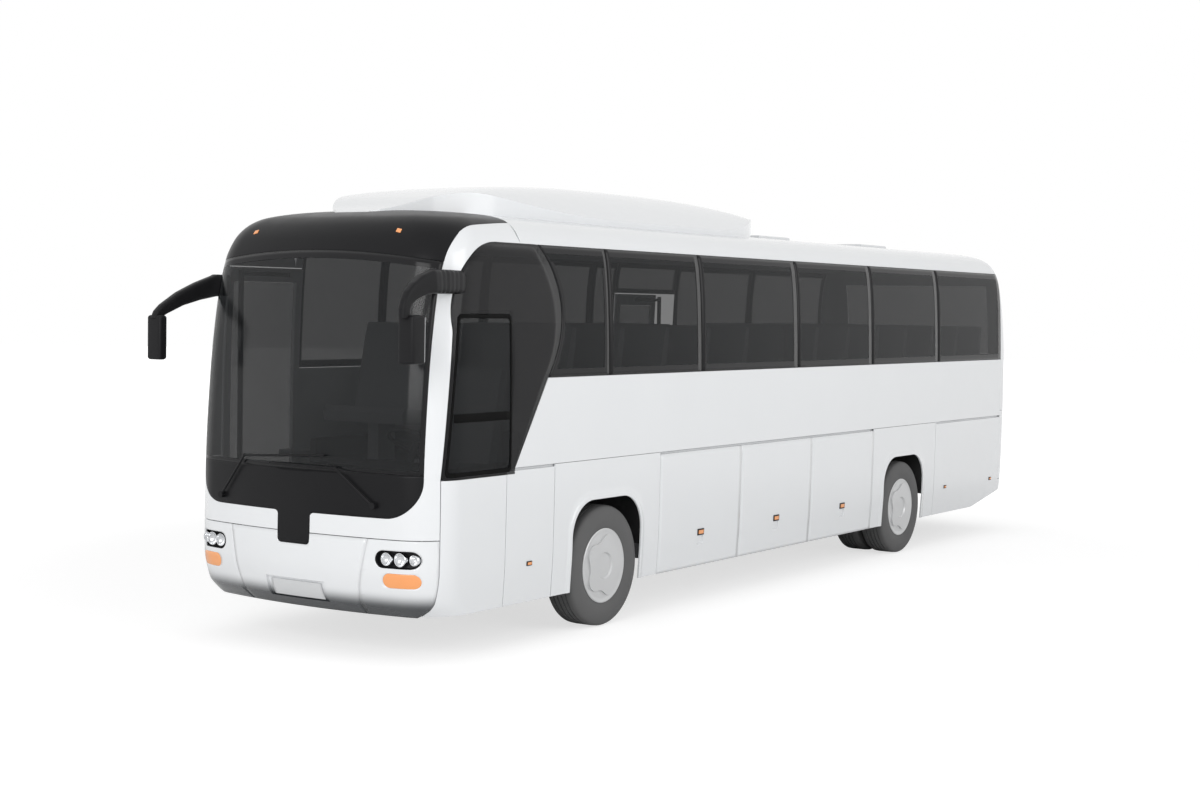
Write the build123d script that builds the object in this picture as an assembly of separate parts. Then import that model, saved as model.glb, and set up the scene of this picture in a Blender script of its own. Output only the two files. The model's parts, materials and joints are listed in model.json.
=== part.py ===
from build123d import *
import os
from math import atan2, cos, hypot, pi, sin, sqrt

os.makedirs("parts", exist_ok=True)

# A full-size coach. X runs forward, Y to the coach's left, Z up, in millimetres.
# The origin is on the ground, midway between the tail and the tips of the mirrors.

# Driving sizes of the whole coach
BODY_LENGTH = 11800
BODY_WIDTH = 2550
ROOF_TOP = 3460
MIRROR_REACH = 285
FRONT_OVERHANG = 2500
WHEELBASE = 6060

# Levels above the ground
SKIRT_FOOT = 335
SKIRT_BEND = 470
BELLY = 700
BUMPER_SEAM = 940
MASK_FOOT = 1100
BROW_SIDE = 3036
BROW_MIDDLE = 3120
SCREEN_FOOT = 1430
WAIST = 1437
GLASS_FOOT = 2137
GLASS_MID = 2700
BROW = 3050
GLASS_TOP = 3205
FLOOR_TOP = 1350
DOOR_FOOT = 370
DOOR_TOP = 3000

# Walls and gaps
WALL = 50
SKIRT_WALL = 20
GLASS = 8
DOOR_WALL = 40
PLATE = 4
FLOOR_THICKNESS = 40
PANEL_GAP = 8
SEAT_GAP = 0.3
SWING_GAP = 8
OVERRUN = 60

# Widths of the side panels, from the front corner panel backwards
CORNER_FRONT = 2215
CORNER_SEAM = 1450
SERVICE_FLAP = 654
FRONT_ARCH_PANEL = 1630
LUGGAGE_FLAP = 1472
REAR_ARCH_PANEL = 1680
ENGINE_FLAP = 2000

# Side windows, each seam measured back from the front axle
PANE_SEAMS = (10, -1530, -3430, -5160, -6950)
PANE_SEAM_WIDTH = 12
PILLAR_WIDTH = 90
PANE_FRONT = 720
PANE_REAR = -9000
RAIL_WIDTH = 60

# Doors on the right-hand side
FRONT_DOOR_REAR = 1120
FRONT_DOOR_WIDTH = 900
MIDDLE_DOOR_REAR = -4700
MIDDLE_DOOR_WIDTH = 800
MIDDLE_DOOR_TOP = 2860

# Rounding of the shell seen from above
NOSE_ARC = 5100
NOSE_CORNER = 380
TAIL_ARC = 9000
TAIL_CORNER = 250
CAP_SEAM = 1200
PILLAR_BAND = 110

# Wheels and tyres
TYRE_RADIUS = 515
TYRE_WIDTH = 295
TREAD_WIDTH = 250
RIM_RADIUS = 300
RIM_SEAT = 286
TWIN_SPACING = 330
TYRE_FACE = 1255
ARCH_HALF = 530
ARCH_TOP = 1097
ARCH_ROUND = 300
HUB_RADIUS = 110
HUB_LENGTH = 190
SPINDLE_RADIUS = 38
COVER_THICKNESS = 8
COVER_RADIUS = 318
COVER_EDGE = 310
COVER_FLAT = 280
COVER_INSET = 14
LOBE_COUNT = 5
LOBE_START = 105
LOBE_TIP = 268
LOBE_DIP = 214
LOBE_RISE = 10
DISH_RADIUS = 122
DISH_FLOOR = 104
DISH_DEPTH = 14

# Front axle
KINGPIN_Y = 880
KINGPIN_RADIUS = 24
KINGPIN_LENGTH = 220
BEAM_HEIGHT = 90
BEAM_DROP = 90
BEAM_WIDTH = 80
KNUCKLE_EYE = 48
KNUCKLE_EYE_HEIGHT = 60
EYE_GAP = 6

# Rear axle
AXLE_TUBE_RADIUS = 75
DIFFERENTIAL_RADIUS = 210
DIFFERENTIAL_LENGTH = 260

# Frames, hold and engine
RAIL_SPACING = 400
RAIL_SIZE = 80
RAIL_FOOT = 800
FRAME_FRONT = 2150
HOLD_FLOOR = 480
HOLD_FRONT = -900
HOLD_REAR = -5190
ENGINE_LENGTH = 1250
ENGINE_HEIGHT = 800
ENGINE_FOOT = 480
ENGINE_TAIL_GAP = 500

# Wheelhouses
HOUSE_HALF = 740
HOUSE_INNER = 520
HOUSE_OUTER = 1230
REAR_HOUSE_HALF = 600

# Seats
SEAT_PITCH = 745
SEAT_ROWS = 12
SEAT_FIRST = 480
SEAT_PAIR_WIDTH = 900
SEAT_WALL_GAP = 45
CUSHION_DEPTH = 440
BACK_HEIGHT = 720
LEG_WIDTH = 60

# Driver's place
PLATFORM_TOP = 1000
DASH_TOP = 1430
DRIVER_Y = 620
DRIVER_SEAT_X = 1130
DRIVER_SEAT_HALF = 260
WHEEL_RING = 230
WHEEL_TUBE = 16
STEERING_TILT = 30
STEERING_X = 1770
STEERING_RISE = 190
COLUMN_REACH = 190
COLUMN_DROP = 340
BINNACLE_HALF = 330
BINNACLE_DEPTH = 170
BINNACLE_REACH = 260
BINNACLE_RISE = 60

# Roof fittings
POD_HALF = 900
POD_FRONT = 1880
POD_BROW_X = 190
POD_BROW_RISE = 290
POD_PEAK_X = -1900
POD_SHOULDER_X = -3200
POD_SHOULDER_RISE = 265
POD_TAIL = -3980
POD_SINK = 60
POD_RISE = 350
HATCH_SIZE = 700
HATCH_RISE = 45
HATCH_ROUND = 20
HATCH_PLACES = (-4600, -7100)

# Mirrors
MIRROR_SPREAD = 1285
MIRROR_HEAD_WIDTH = 150
MIRROR_HEAD_DEPTH = 80
MIRROR_HEAD_HEIGHT = 356
MIRROR_HEAD_ROUND = 22
MIRROR_ARM_LENGTH = 805
MIRROR_ARM_FALL = 250
MIRROR_ARM_HEIGHT = 176
LEFT_ARM_LEVEL = 2882
RIGHT_ARM_LEVEL = 2840
ARM_EDGE_SHARE = 0.16
# Columns: place along the arm as a share of its length, spread as a share of the heads' spread,
# fall as a share of the arm's fall, pitch in degrees, then width and height as shares of its height.
LEFT_ARM_SHARES = (
    (0.000, 0.934, 0.00, 0, 0.57, 0.97),
    (0.559, 1.000, 0.01, 8, 0.60, 1.00),
    (0.795, 1.000, 0.28, 32, 0.48, 0.74),
    (0.913, 1.000, 0.59, 62, 0.38, 0.52),
    (0.940, 1.000, 1.09, 90, 0.34, 0.45),
)
RIGHT_ARM_SHARES = (
    (0.081, 0.926, 0.00, 0, 0.51, 0.95),
    (0.186, 0.961, 0.01, 8, 0.57, 1.00),
    (0.621, 1.000, 0.47, 24, 0.45, 0.68),
    (0.832, 1.000, 0.82, 38, 0.38, 0.54),
    (0.930, 1.000, 1.12, 80, 0.34, 0.45),
)

# Lamps
LAMP_Y = 959
LAMP_Z = 792
LAMP_LENGTH = 358
LAMP_HEIGHT = 135
LAMP_RIM = 12
LAMP_BACK = 20
LAMP_TUBE = 5
# Columns: lateral place, radius
LAMP_RINGS = ((866, 51), (980, 54), (1082, 42))
TURN_Y = 991
TURN_Z = 632
TURN_LENGTH = 290
TURN_HEIGHT = 113
DOME_LAMP_X = 2165
DOME_LAMP_Y = 745
DOME_LAMP_HALF = 24
TAIL_LAMP_FOOT = 952
TAIL_LAMP_TOP = 1309
TAIL_LAMP_Y = 1000
TAIL_LAMP_X = -9140

# Raised lips, markers and pulls
LIP_RISE = 8
LIP_WIDTH = 45
MARKER_Z = 655
MARKER_HALF_LENGTH = 38
MARKER_HALF_HEIGHT = 30
PULL_HEIGHT = 74
PULL_GAP = 6
SERVICE_MARKER = 1128
ENGINE_MARKERS = (-7259, -8670)

# Wipers. Columns: side, pivot's Y and Z, elbow's Y and Z, blade end's Y and Z
WIPERS = (
    ((-819, 1165), (-535, 1500), (320, 1548)),
    ((775, 1192), (430, 1456), (-240, 1462)),
)
WIPER_RADIUS = 9
WIPER_CAP = 24
WIPER_ELBOW = 13
WIPER_RISE = 30

# Engine lid's louvres
LOUVRES = 9
LOUVRE_PITCH = 44
LOUVRE_OPEN = 18
LOUVRE_FOOT = 110
LOUVRE_HALF = 620
LOUVRE_WEB = 25

half_width = BODY_WIDTH / 2
nose_x = (BODY_LENGTH - MIRROR_REACH) / 2
tail_x = nose_x - BODY_LENGTH
front_axle_x = nose_x - FRONT_OVERHANG
rear_axle_x = front_axle_x - WHEELBASE
tyre_y = TYRE_FACE - TYRE_WIDTH / 2
inner_tyre_y = tyre_y - TWIN_SPACING
roof_edge = ROOF_TOP - GLASS_TOP

# Shell sections. Columns: level, then setbacks of the nose, of each side and of the tail,
# as shares of half the width.
SHELL_SHARES = (
    (SKIRT_FOOT, 0.133, 0.022, 0.060),
    (SKIRT_BEND, 0.035, 0.016, 0.035),
    (BELLY, 0.000, 0.006, 0.020),
    (WAIST, 0.008, 0.000, 0.004),
    (GLASS_FOOT, 0.039, 0.004, 0.000),
    (GLASS_MID, 0.086, 0.018, 0.040),
    (BROW, 0.140, 0.040, 0.090),
    (GLASS_TOP, 0.190, 0.067, 0.130),
    (GLASS_TOP + 0.37 * roof_edge, 0.243, 0.106, 0.170),
    (GLASS_TOP + 0.69 * roof_edge, 0.330, 0.184, 0.240),
    (GLASS_TOP + 0.88 * roof_edge, 0.470, 0.325, 0.340),
    (ROOF_TOP, 0.670, 0.600, 0.550),
)


def ahead(distance):
    """Return the X of a place measured forward from the front axle."""
    return front_axle_x + distance


def block(x0, x1, y0, y1, z0, z1):
    """Return a box between two corners."""
    middle = Pos((x0 + x1) / 2, (y0 + y1) / 2, (z0 + z1) / 2)
    return middle * Box(abs(x1 - x0), abs(y1 - y0), abs(z1 - z0))


def side_prism(points, y0, y1):
    """Return a prism of an outline in X and Z, from y0 to y1."""
    low, high = min(y0, y1), max(y0, y1)
    face = Plane.XZ.offset(-high) * make_face(Polyline(*points, close=True))
    return extrude(face, amount=high - low)


def front_prism(points, x0, x1):
    """Return a prism of an outline in Y and Z, from x0 to x1."""
    face = Plane.YZ.offset(x0) * make_face(Polyline(*points, close=True))
    return extrude(face, amount=x1 - x0)


def along_y(radius, length, x, y, z):
    """Return a rod along Y about a centre."""
    return Pos(x, y, z) * Rot(90, 0, 0) * Cylinder(radius, length)


def end_arcs(tip, width, big, small, way):
    """Return where an end's middle arc stops, its corner's middle and its corner's end."""
    reach = sqrt((big - small) ** 2 - (width - small) ** 2)
    corner_x = tip - way * (big - reach)
    turn = atan2(width - small, reach)
    start = (tip - way * big * (1 - cos(turn)), big * sin(turn))
    half_turn = (turn + pi / 2) / 2
    middle = (corner_x + way * small * cos(half_turn), width - small + small * sin(half_turn))
    return start, middle, (corner_x, width)


def section(level, nose, width, tail):
    """Return the shell's outline at a level, as a face."""
    front = end_arcs(nose, width, NOSE_ARC, NOSE_CORNER, 1)
    rear = end_arcs(tail, width, TAIL_ARC, TAIL_CORNER, -1)

    def at(place, side):
        return (place[0], side * place[1], level)

    edges = [
        ThreePointArc(at(front[0], -1), (nose, 0, level), at(front[0], 1)),
        ThreePointArc(*[at(place, 1) for place in front]),
        Line(at(front[2], 1), at(rear[2], 1)),
        ThreePointArc(*[at(place, 1) for place in rear[::-1]]),
        ThreePointArc(at(rear[0], 1), (tail, 0, level), at(rear[0], -1)),
        ThreePointArc(*[at(place, -1) for place in rear]),
        Line(at(rear[2], -1), at(front[2], -1)),
        ThreePointArc(*[at(place, -1) for place in front[::-1]]),
    ]
    return make_face(Wire(edges))


def shell(depth):
    """Return the coach's whole outer form, or that form let in by a depth."""
    faces = []
    last = len(SHELL_SHARES) - 1
    for place, row in enumerate(SHELL_SHARES):
        below = SHELL_SHARES[max(0, place - 1)]
        above = SHELL_SHARES[min(last, place + 1)]
        rise = above[0] - below[0]
        drifts = [(above[column] - below[column]) * half_width for column in (1, 2, 3)]
        outs = [rise / hypot(rise, drift) for drift in drifts]
        level = row[0] - depth * drifts[1] / hypot(rise, drifts[1])
        if place == 0:
            level = row[0] - (OVERRUN if depth else 0)
        if place == last:
            level = row[0] - depth
        nose = nose_x - row[1] * half_width - depth * outs[0]
        width = half_width * (1 - row[2]) - depth * outs[1]
        tail = tail_x + row[3] * half_width + depth * outs[2]
        faces.append(section(level, nose, width, tail))
    return loft(faces, ruled=True)


outer = shell(0)
proud = shell(-LIP_RISE)
inside_lamp = shell(WALL + LAMP_BACK)
inside_panel = shell(SKIRT_WALL + SEAT_GAP)
inside_glass = shell(GLASS)
inside_pillar = shell(GLASS + 1)
inside_skirt = shell(SKIRT_WALL)
inside_door = shell(DOOR_WALL)
inside_wall = shell(WALL)
wall_skin = outer - inside_wall
skirt_skin = outer - inside_skirt
glass_skin = outer - inside_glass
door_skin = outer - inside_door
pillar_skin = inside_pillar - inside_wall
lip_skin = proud - outer

nodes = {}


def keep(name, shape):
    """Store a piece under its node's name."""
    nodes[name] = shape


def keep_all(name, shapes):
    """Store like pieces that stand apart under one node's name."""
    solids = []
    for shape in shapes:
        solids.extend(shape.solids())
    nodes[name] = Compound(children=solids)


def write_nodes():
    """Write each piece to its own file."""
    for name, shape in nodes.items():
        solids = shape.solids()
        result = solids[0] if len(solids) == 1 else Compound(children=list(solids))
        export_step(result, f"parts/{name}.step")


def side_zone(points, side):
    """Return a prism through one side's wall, from the middle outwards."""
    return side_prism(points, 0, side * BODY_WIDTH)


def zone_box(x0, x1, z0, z1, side):
    """Return a straight-sided zone through one side's wall."""
    return side_zone([(x0, z0), (x1, z0), (x1, z1), (x0, z1)], side)


# Seams of the skirt, from the front backwards
corner_seam_x = ahead(CORNER_SEAM)
service_seam_x = corner_seam_x - SERVICE_FLAP
arch_seam_x = service_seam_x - FRONT_ARCH_PANEL
luggage_seams = [arch_seam_x - count * LUGGAGE_FLAP for count in range(4)]
rear_arch_seam_x = luggage_seams[3] - REAR_ARCH_PANEL
engine_seam_x = rear_arch_seam_x - ENGINE_FLAP
corner_front_x = ahead(CORNER_FRONT)
band_y = half_width - PILLAR_BAND
front_door_x = ahead(FRONT_DOOR_REAR)
front_door_front = front_door_x + FRONT_DOOR_WIDTH
middle_door_x = ahead(MIDDLE_DOOR_REAR)
middle_door_front = middle_door_x + MIDDLE_DOOR_WIDTH
pane_xs = [ahead(PANE_FRONT)] + [ahead(seam) for seam in PANE_SEAMS] + [ahead(PANE_REAR)]

# Hinges of the flaps and the engine lid
HINGE_DROP = 12
HINGE_INSET = 6
HINGE_RADIUS = 5.5
HINGE_LENGTH = 60
HINGE_WEB = 4
FLAP_DROP = 22

# Sizes round the front
CORNER_TOP = 1390
SLANT_FOOT = 1345
SLANT_TOP = 900
TAB_HALF = 165
TAB_FOOT = 850
TAB_NECK = 40
TAB_ROUND = 35
MASK_ROUND = 280
PANEL_SEAM = 4
WINDOW_ROUND = 35
# Seam between the bumper and its corners: lateral place and level, from the top down
SLANT_SEAM = ((712, 945), (609, 468), (579, 260))
PILLAR_BEND_X = 2106
PILLAR_BEND_Z = 2520
PILLAR_MIDDLE_X = 1930
PILLAR_MIDDLE_Z = 3040
PILLAR_TOP_X = 1500
WINDOW_TOP = 2640
WINDOW_FRONT_FOOT = 2120
WINDOW_FRONT_TOP = 2050
WINDOW_REAR = 1400
WINDOW_FOOT = 1470

# Sizes round the tail
LID_HALF = 800
LID_FOOT = 640
LID_TOP = 1500
REAR_GLASS_HALF = 980
REAR_GLASS_FOOT = 2200
REAR_GLASS_TOP = 3060
RAMP_START = -8123
RAMP_END = -9263
RAMP_FOOT = 347
RAMP_TOP = 545

cap_x = ahead(CAP_SEAM)
beyond_nose = nose_x + OVERRUN
beyond_tail = tail_x - OVERRUN
above_roof = ROOF_TOP + OVERRUN


def ramp_cut():
    """Return the wedge that is cut from under the tail."""
    low = RAMP_FOOT - WALL
    slope = (RAMP_TOP - RAMP_FOOT) / (RAMP_START - RAMP_END)
    end_x = ahead(RAMP_END) - WALL * 2
    points = [
        (ahead(RAMP_START), RAMP_FOOT),
        (end_x, RAMP_FOOT + slope * (ahead(RAMP_START) - end_x)),
        (end_x, low),
        (ahead(RAMP_START), low),
    ]
    return side_prism(points, -BODY_WIDTH, BODY_WIDTH)


def arch_zone(x, side, grow):
    """Return the open shape of a wheel arch through one side, grown all round."""
    half = ARCH_HALF + grow
    top = ARCH_TOP + grow
    round_off = ARCH_ROUND + grow
    low = SKIRT_FOOT - OVERRUN
    middle = round_off * (1 - sqrt(0.5))
    edges = [
        Line((x - half, low), (x - half, top - round_off)),
        ThreePointArc(
            (x - half, top - round_off),
            (x - half + middle, top - middle),
            (x - half + round_off, top),
        ),
        Line((x - half + round_off, top), (x + half - round_off, top)),
        ThreePointArc(
            (x + half - round_off, top),
            (x + half - middle, top - middle),
            (x + half, top - round_off),
        ),
        Line((x + half, top - round_off), (x + half, low)),
        Line((x + half, low), (x - half, low)),
    ]
    high = BODY_WIDTH if side > 0 else 0
    face = Plane.XZ.offset(-high) * make_face(Wire(edges))
    return extrude(face, amount=BODY_WIDTH)


def flap_hinge(x0, x1, side, shares):
    """Return the hinge knuckles of a flap and those of the wall above it."""
    y = side * (half_width - HINGE_INSET)
    z = WAIST - HINGE_DROP
    moving = []
    fixed = []
    for share in shares:
        x = x0 + share * (x1 - x0)
        rod = Pos(x, y, z) * Rot(0, 90, 0) * Cylinder(HINGE_RADIUS, HINGE_LENGTH)
        web = block(
            x - HINGE_LENGTH / 2, x + HINGE_LENGTH / 2,
            y - HINGE_WEB / 2, y + HINGE_WEB / 2,
            WAIST - FLAP_DROP - HINGE_WEB, z,
        )
        moving.append(rod + web)
        for way in (-1, 1):
            far = x + way * (HINGE_LENGTH + SEAT_GAP)
            rod = Pos(far, y, z) * Rot(0, 90, 0) * Cylinder(HINGE_RADIUS, HINGE_LENGTH)
            web = block(
                far - HINGE_LENGTH / 2, far + HINGE_LENGTH / 2,
                y - HINGE_WEB / 2, y + HINGE_WEB / 2,
                z, WAIST + HINGE_WEB,
            )
            fixed.append(rod + web)
    return moving, fixed


ramp = ramp_cut()
surround_corner = zone_box(
    ahead(SLANT_FOOT) - SWING_GAP, corner_seam_x, CORNER_TOP - SWING_GAP, WAIST, 1
)
wall_hinges = {1: [], -1: []}


def marker_frame(x, side):
    """Return the raised frame of a side marker lamp."""
    return lip_skin & zone_box(
        x - MARKER_HALF_LENGTH, x + MARKER_HALF_LENGTH,
        MARKER_Z - MARKER_HALF_HEIGHT, MARKER_Z + MARKER_HALF_HEIGHT, side,
    )


def pull_recess(x, side):
    """Return the shallow recess of a flap's pull, under its marker lamp."""
    top = MARKER_Z - MARKER_HALF_HEIGHT - PULL_GAP
    return glass_skin & zone_box(
        x - MARKER_HALF_LENGTH, x + MARKER_HALF_LENGTH, top - PULL_HEIGHT, top, side
    )


def make_flap(name, x_rear, x_front, side, markers, pull, shares=(0.15, 0.85)):
    """Make one lift-up flap of the skirt, with its markers, pull and half of the hinges."""
    rear = x_rear + PANEL_GAP / 2
    front = x_front - PANEL_GAP / 2
    zone = zone_box(rear, front, SKIRT_FOOT - OVERRUN, WAIST - FLAP_DROP, side)
    panel = (skirt_skin & zone) - ramp - surround_corner
    moving, fixed = flap_hinge(rear, front, side, shares)
    for marker_x in markers:
        panel = panel + marker_frame(marker_x, side)
        if pull:
            panel = panel - pull_recess(marker_x, side)
    for knuckle in moving:
        panel = panel + knuckle
    wall_hinges[side].extend(fixed)
    keep(name, panel)


make_flap("service_flap_left", service_seam_x, corner_seam_x, 1, [ahead(SERVICE_MARKER)], False, (0.15, 0.6))
for side, word, flap_count in ((1, "left", 3), (-1, "right", 2)):
    for count in range(flap_count):
        rear, front = luggage_seams[count + 1], luggage_seams[count]
        make_flap(f"luggage_flap_{word}_{count + 1}", rear, front, side, [(rear + front) / 2], True)
engine_markers = [ahead(place) for place in ENGINE_MARKERS]
for side, word in ((1, "left"), (-1, "right")):
    make_flap(f"engine_flap_{word}", engine_seam_x, rear_arch_seam_x, side, engine_markers, False)


def arch_panel(x_rear, x_front, side, wheel_x):
    """Return a fixed skirt panel with its wheel arch and the arch's raised lip."""
    panel = skirt_skin & zone_box(x_rear, x_front, SKIRT_FOOT - OVERRUN, WAIST, side)
    arch = arch_zone(wheel_x, side, 0)
    lip = lip_skin & arch_zone(wheel_x, side, LIP_WIDTH) & zone_box(x_rear, x_front, SKIRT_FOOT, WAIST, side)
    return panel + lip - arch


door_rear_edge = front_door_x - SWING_GAP
middle_rear_edge = middle_door_x - SWING_GAP
middle_front_edge = middle_door_front + SWING_GAP
skirt_panels = [
    arch_panel(arch_seam_x, service_seam_x, 1, front_axle_x),
    arch_panel(rear_arch_seam_x, luggage_seams[3], 1, rear_axle_x),
    arch_panel(arch_seam_x, door_rear_edge, -1, front_axle_x),
    arch_panel(rear_arch_seam_x, middle_rear_edge, -1, rear_axle_x),
    skirt_skin & zone_box(middle_front_edge, luggage_seams[2], SKIRT_FOOT - OVERRUN, WAIST, -1),
]


def pillar_frame(x_rear, x_front, seams, side):
    """Return the window band of a side wall, with an opening behind each pane."""
    band = pillar_skin & zone_box(x_rear, x_front, GLASS_FOOT, GLASS_TOP, side)
    for front, rear in zip(seams[:-1], seams[1:]):
        hole = zone_box(
            rear + PILLAR_WIDTH / 2, front - PILLAR_WIDTH / 2,
            GLASS_FOOT + RAIL_WIDTH, GLASS_TOP - RAIL_WIDTH, side,
        )
        band = band - hole
    return band


slant = [
    (engine_seam_x, WAIST),
    (ahead(SLANT_FOOT), WAIST),
    (ahead(SLANT_TOP), GLASS_FOOT),
    (engine_seam_x, GLASS_FOOT),
]
left_seams = pane_xs[:-1] + [engine_seam_x]
left_wall = (wall_skin & side_zone(slant, 1)) + pillar_frame(engine_seam_x, ahead(SLANT_TOP), left_seams, 1)
for knuckle in wall_hinges[1]:
    left_wall = left_wall + knuckle

right_seams = [door_rear_edge] + [ahead(seam) for seam in PANE_SEAMS] + [engine_seam_x]
middle_hole = zone_box(
    middle_rear_edge, middle_front_edge, SKIRT_FOOT, MIDDLE_DOOR_TOP + SWING_GAP, -1
)
right_wall = (
    (wall_skin & zone_box(engine_seam_x, door_rear_edge, WAIST, GLASS_FOOT, -1))
    + pillar_frame(engine_seam_x, door_rear_edge, right_seams, -1)
)
for knuckle in wall_hinges[-1]:
    right_wall = right_wall + knuckle
right_wall = right_wall - middle_hole


def panes(seams, side, hole):
    """Return the panes of one side, each standing clear of its neighbours."""
    made = []
    for front, rear in zip(seams[:-1], seams[1:]):
        zone = zone_box(
            rear + PANE_SEAM_WIDTH / 2, front - PANE_SEAM_WIDTH / 2, GLASS_FOOT, GLASS_TOP, side
        )
        pane = glass_skin & zone
        if hole is not None:
            pane = pane - hole
        made.extend(pane.solids())
    return made


window_panes = panes(left_seams, 1, None) + panes(right_seams, -1, middle_hole)

# Roof, dome and rear
keep("roof", wall_skin & block(beyond_tail, cap_x, -half_width, half_width, GLASS_TOP, above_roof))


def under_brow():
    """Return the zone of the screen, from its foot up to the brow's arc."""
    edges = [
        Line((-band_y, SCREEN_FOOT), (band_y, SCREEN_FOOT)),
        Line((band_y, SCREEN_FOOT), (band_y, BROW_SIDE)),
        ThreePointArc((band_y, BROW_SIDE), (0, BROW_MIDDLE), (-band_y, BROW_SIDE)),
        Line((-band_y, BROW_SIDE), (-band_y, SCREEN_FOOT)),
    ]
    return extrude(Plane.YZ.offset(cap_x) * make_face(Wire(edges)), amount=beyond_nose - cap_x)


screen_zone = under_brow()
dome = wall_skin & block(cap_x, beyond_nose, -band_y, band_y, BROW_SIDE, above_roof)
keep("front_dome", dome - screen_zone)

rear_zone = block(beyond_tail, engine_seam_x, -half_width, half_width, WAIST, GLASS_TOP)
corner_zones = [
    block(beyond_tail, engine_seam_x, side * LID_HALF, side * half_width, LID_FOOT, WAIST)
    for side in (-1, 1)
]
rear_wall = wall_skin & rear_zone
for zone in corner_zones:
    rear_wall = rear_wall + (wall_skin & zone)
rear_wall = rear_wall - block(beyond_tail, engine_seam_x - WALL, -LID_HALF, LID_HALF, WAIST, LID_TOP)
glass_zone = block(
    beyond_tail, tail_x + WALL * 8, -REAR_GLASS_HALF, REAR_GLASS_HALF, REAR_GLASS_FOOT, REAR_GLASS_TOP
)
glass_hole = block(
    beyond_tail, tail_x + WALL * 8,
    -REAR_GLASS_HALF + RAIL_WIDTH, REAR_GLASS_HALF - RAIL_WIDTH,
    REAR_GLASS_FOOT + RAIL_WIDTH, REAR_GLASS_TOP - RAIL_WIDTH,
)
rear_wall = rear_wall - (glass_zone - inside_pillar) - glass_hole
window_panes.append(glass_skin & glass_zone)

lid_zone = block(
    beyond_tail, engine_seam_x - WALL - PANEL_GAP, -LID_HALF + PANEL_GAP, LID_HALF - PANEL_GAP,
    LID_FOOT + PANEL_GAP, LID_TOP - FLAP_DROP,
)
engine_lid = door_skin & lid_zone
for count in range(LOUVRES):
    z = LID_FOOT + LOUVRE_FOOT + count * LOUVRE_PITCH
    for side in (-1, 1):
        slot = block(
            beyond_tail, tail_x + WALL * 4, side * LOUVRE_WEB, side * LOUVRE_HALF, z, z + LOUVRE_OPEN
        )
        engine_lid = engine_lid - slot
waist_row = SHELL_SHARES[3]
lid_x = tail_x + waist_row[3] * half_width + HINGE_INSET
for share in (-0.35, 0.35):
    y = share * LID_HALF
    z = LID_TOP - HINGE_DROP
    engine_lid = engine_lid + along_y(HINGE_RADIUS, HINGE_LENGTH, lid_x, y, z)
    engine_lid = engine_lid + block(
        lid_x - HINGE_WEB / 2, lid_x + HINGE_WEB / 2,
        y - HINGE_LENGTH / 2, y + HINGE_LENGTH / 2, LID_TOP - FLAP_DROP - HINGE_WEB * 2, z,
    )
    for way in (-1, 1):
        far = y + way * (HINGE_LENGTH + SEAT_GAP)
        rear_wall = rear_wall + along_y(HINGE_RADIUS, HINGE_LENGTH, lid_x, far, z)
        rear_wall = rear_wall + block(
            lid_x - HINGE_WEB / 2, lid_x + HINGE_WEB / 2,
            far - HINGE_LENGTH / 2, far + HINGE_LENGTH / 2, z, LID_TOP + HINGE_WEB * 2,
        )
keep("engine_lid", engine_lid)
tail_lamps = []
for side in (-1, 1):
    lamp_zone = block(
        beyond_tail, ahead(TAIL_LAMP_X), side * TAIL_LAMP_Y, side * half_width, TAIL_LAMP_FOOT, TAIL_LAMP_TOP
    )
    rear_wall = rear_wall - (lamp_zone & skirt_skin)
    lens_zone = block(
        beyond_tail, ahead(TAIL_LAMP_X) - SEAT_GAP,
        side * (TAIL_LAMP_Y + SEAT_GAP), side * half_width,
        TAIL_LAMP_FOOT + SEAT_GAP, TAIL_LAMP_TOP - SEAT_GAP,
    )
    tail_lamps.append((outer - inside_skirt) & lens_zone)
keep_all("tail_lamps", tail_lamps)
keep("rear_wall", rear_wall)
bumper_zone = block(beyond_tail, engine_seam_x, -half_width, half_width, SKIRT_FOOT - OVERRUN, LID_FOOT)
keep("rear_bumper", (wall_skin & bumper_zone) - ramp)

# Front
front_zone = block(corner_front_x, beyond_nose, -half_width, half_width, BUMPER_SEAM, SCREEN_FOOT)


def mask_zone_of():
    """Return the zone of the black mask, with its rounded corners and its tab."""
    half = [
        (band_y, SCREEN_FOOT, 0), (band_y, MASK_FOOT, MASK_ROUND), (TAB_HALF, MASK_FOOT, TAB_NECK),
        (TAB_HALF, TAB_FOOT, TAB_ROUND),
    ]
    corners = half + [(-y, z, radius) for y, z, radius in half[::-1]]
    face = make_face(Polyline(*[(y, z) for y, z, radius in corners], close=True))
    for y, z, radius in corners:
        if radius:
            face = fillet(face.vertices().sort_by_distance((y, z))[0], radius)
    return extrude(Plane.YZ.offset(corner_front_x) * face, amount=beyond_nose - corner_front_x)


def pill(y, z, length, height):
    """Return a round-ended zone through the front, along X."""
    face = Plane.YZ.offset(corner_front_x) * Pos(y, z) * SlotOverall(length, height)
    return extrude(face, amount=beyond_nose - corner_front_x)


def seam_cut(side):
    """Return the slanted seam between the bumper's middle and its corner."""
    line = [(side * y, z) for y, z in SLANT_SEAM]
    shifted = [(y + side * PANEL_SEAM, z) for y, z in line[::-1]]
    return front_prism(line + shifted, corner_front_x, beyond_nose)


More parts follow.
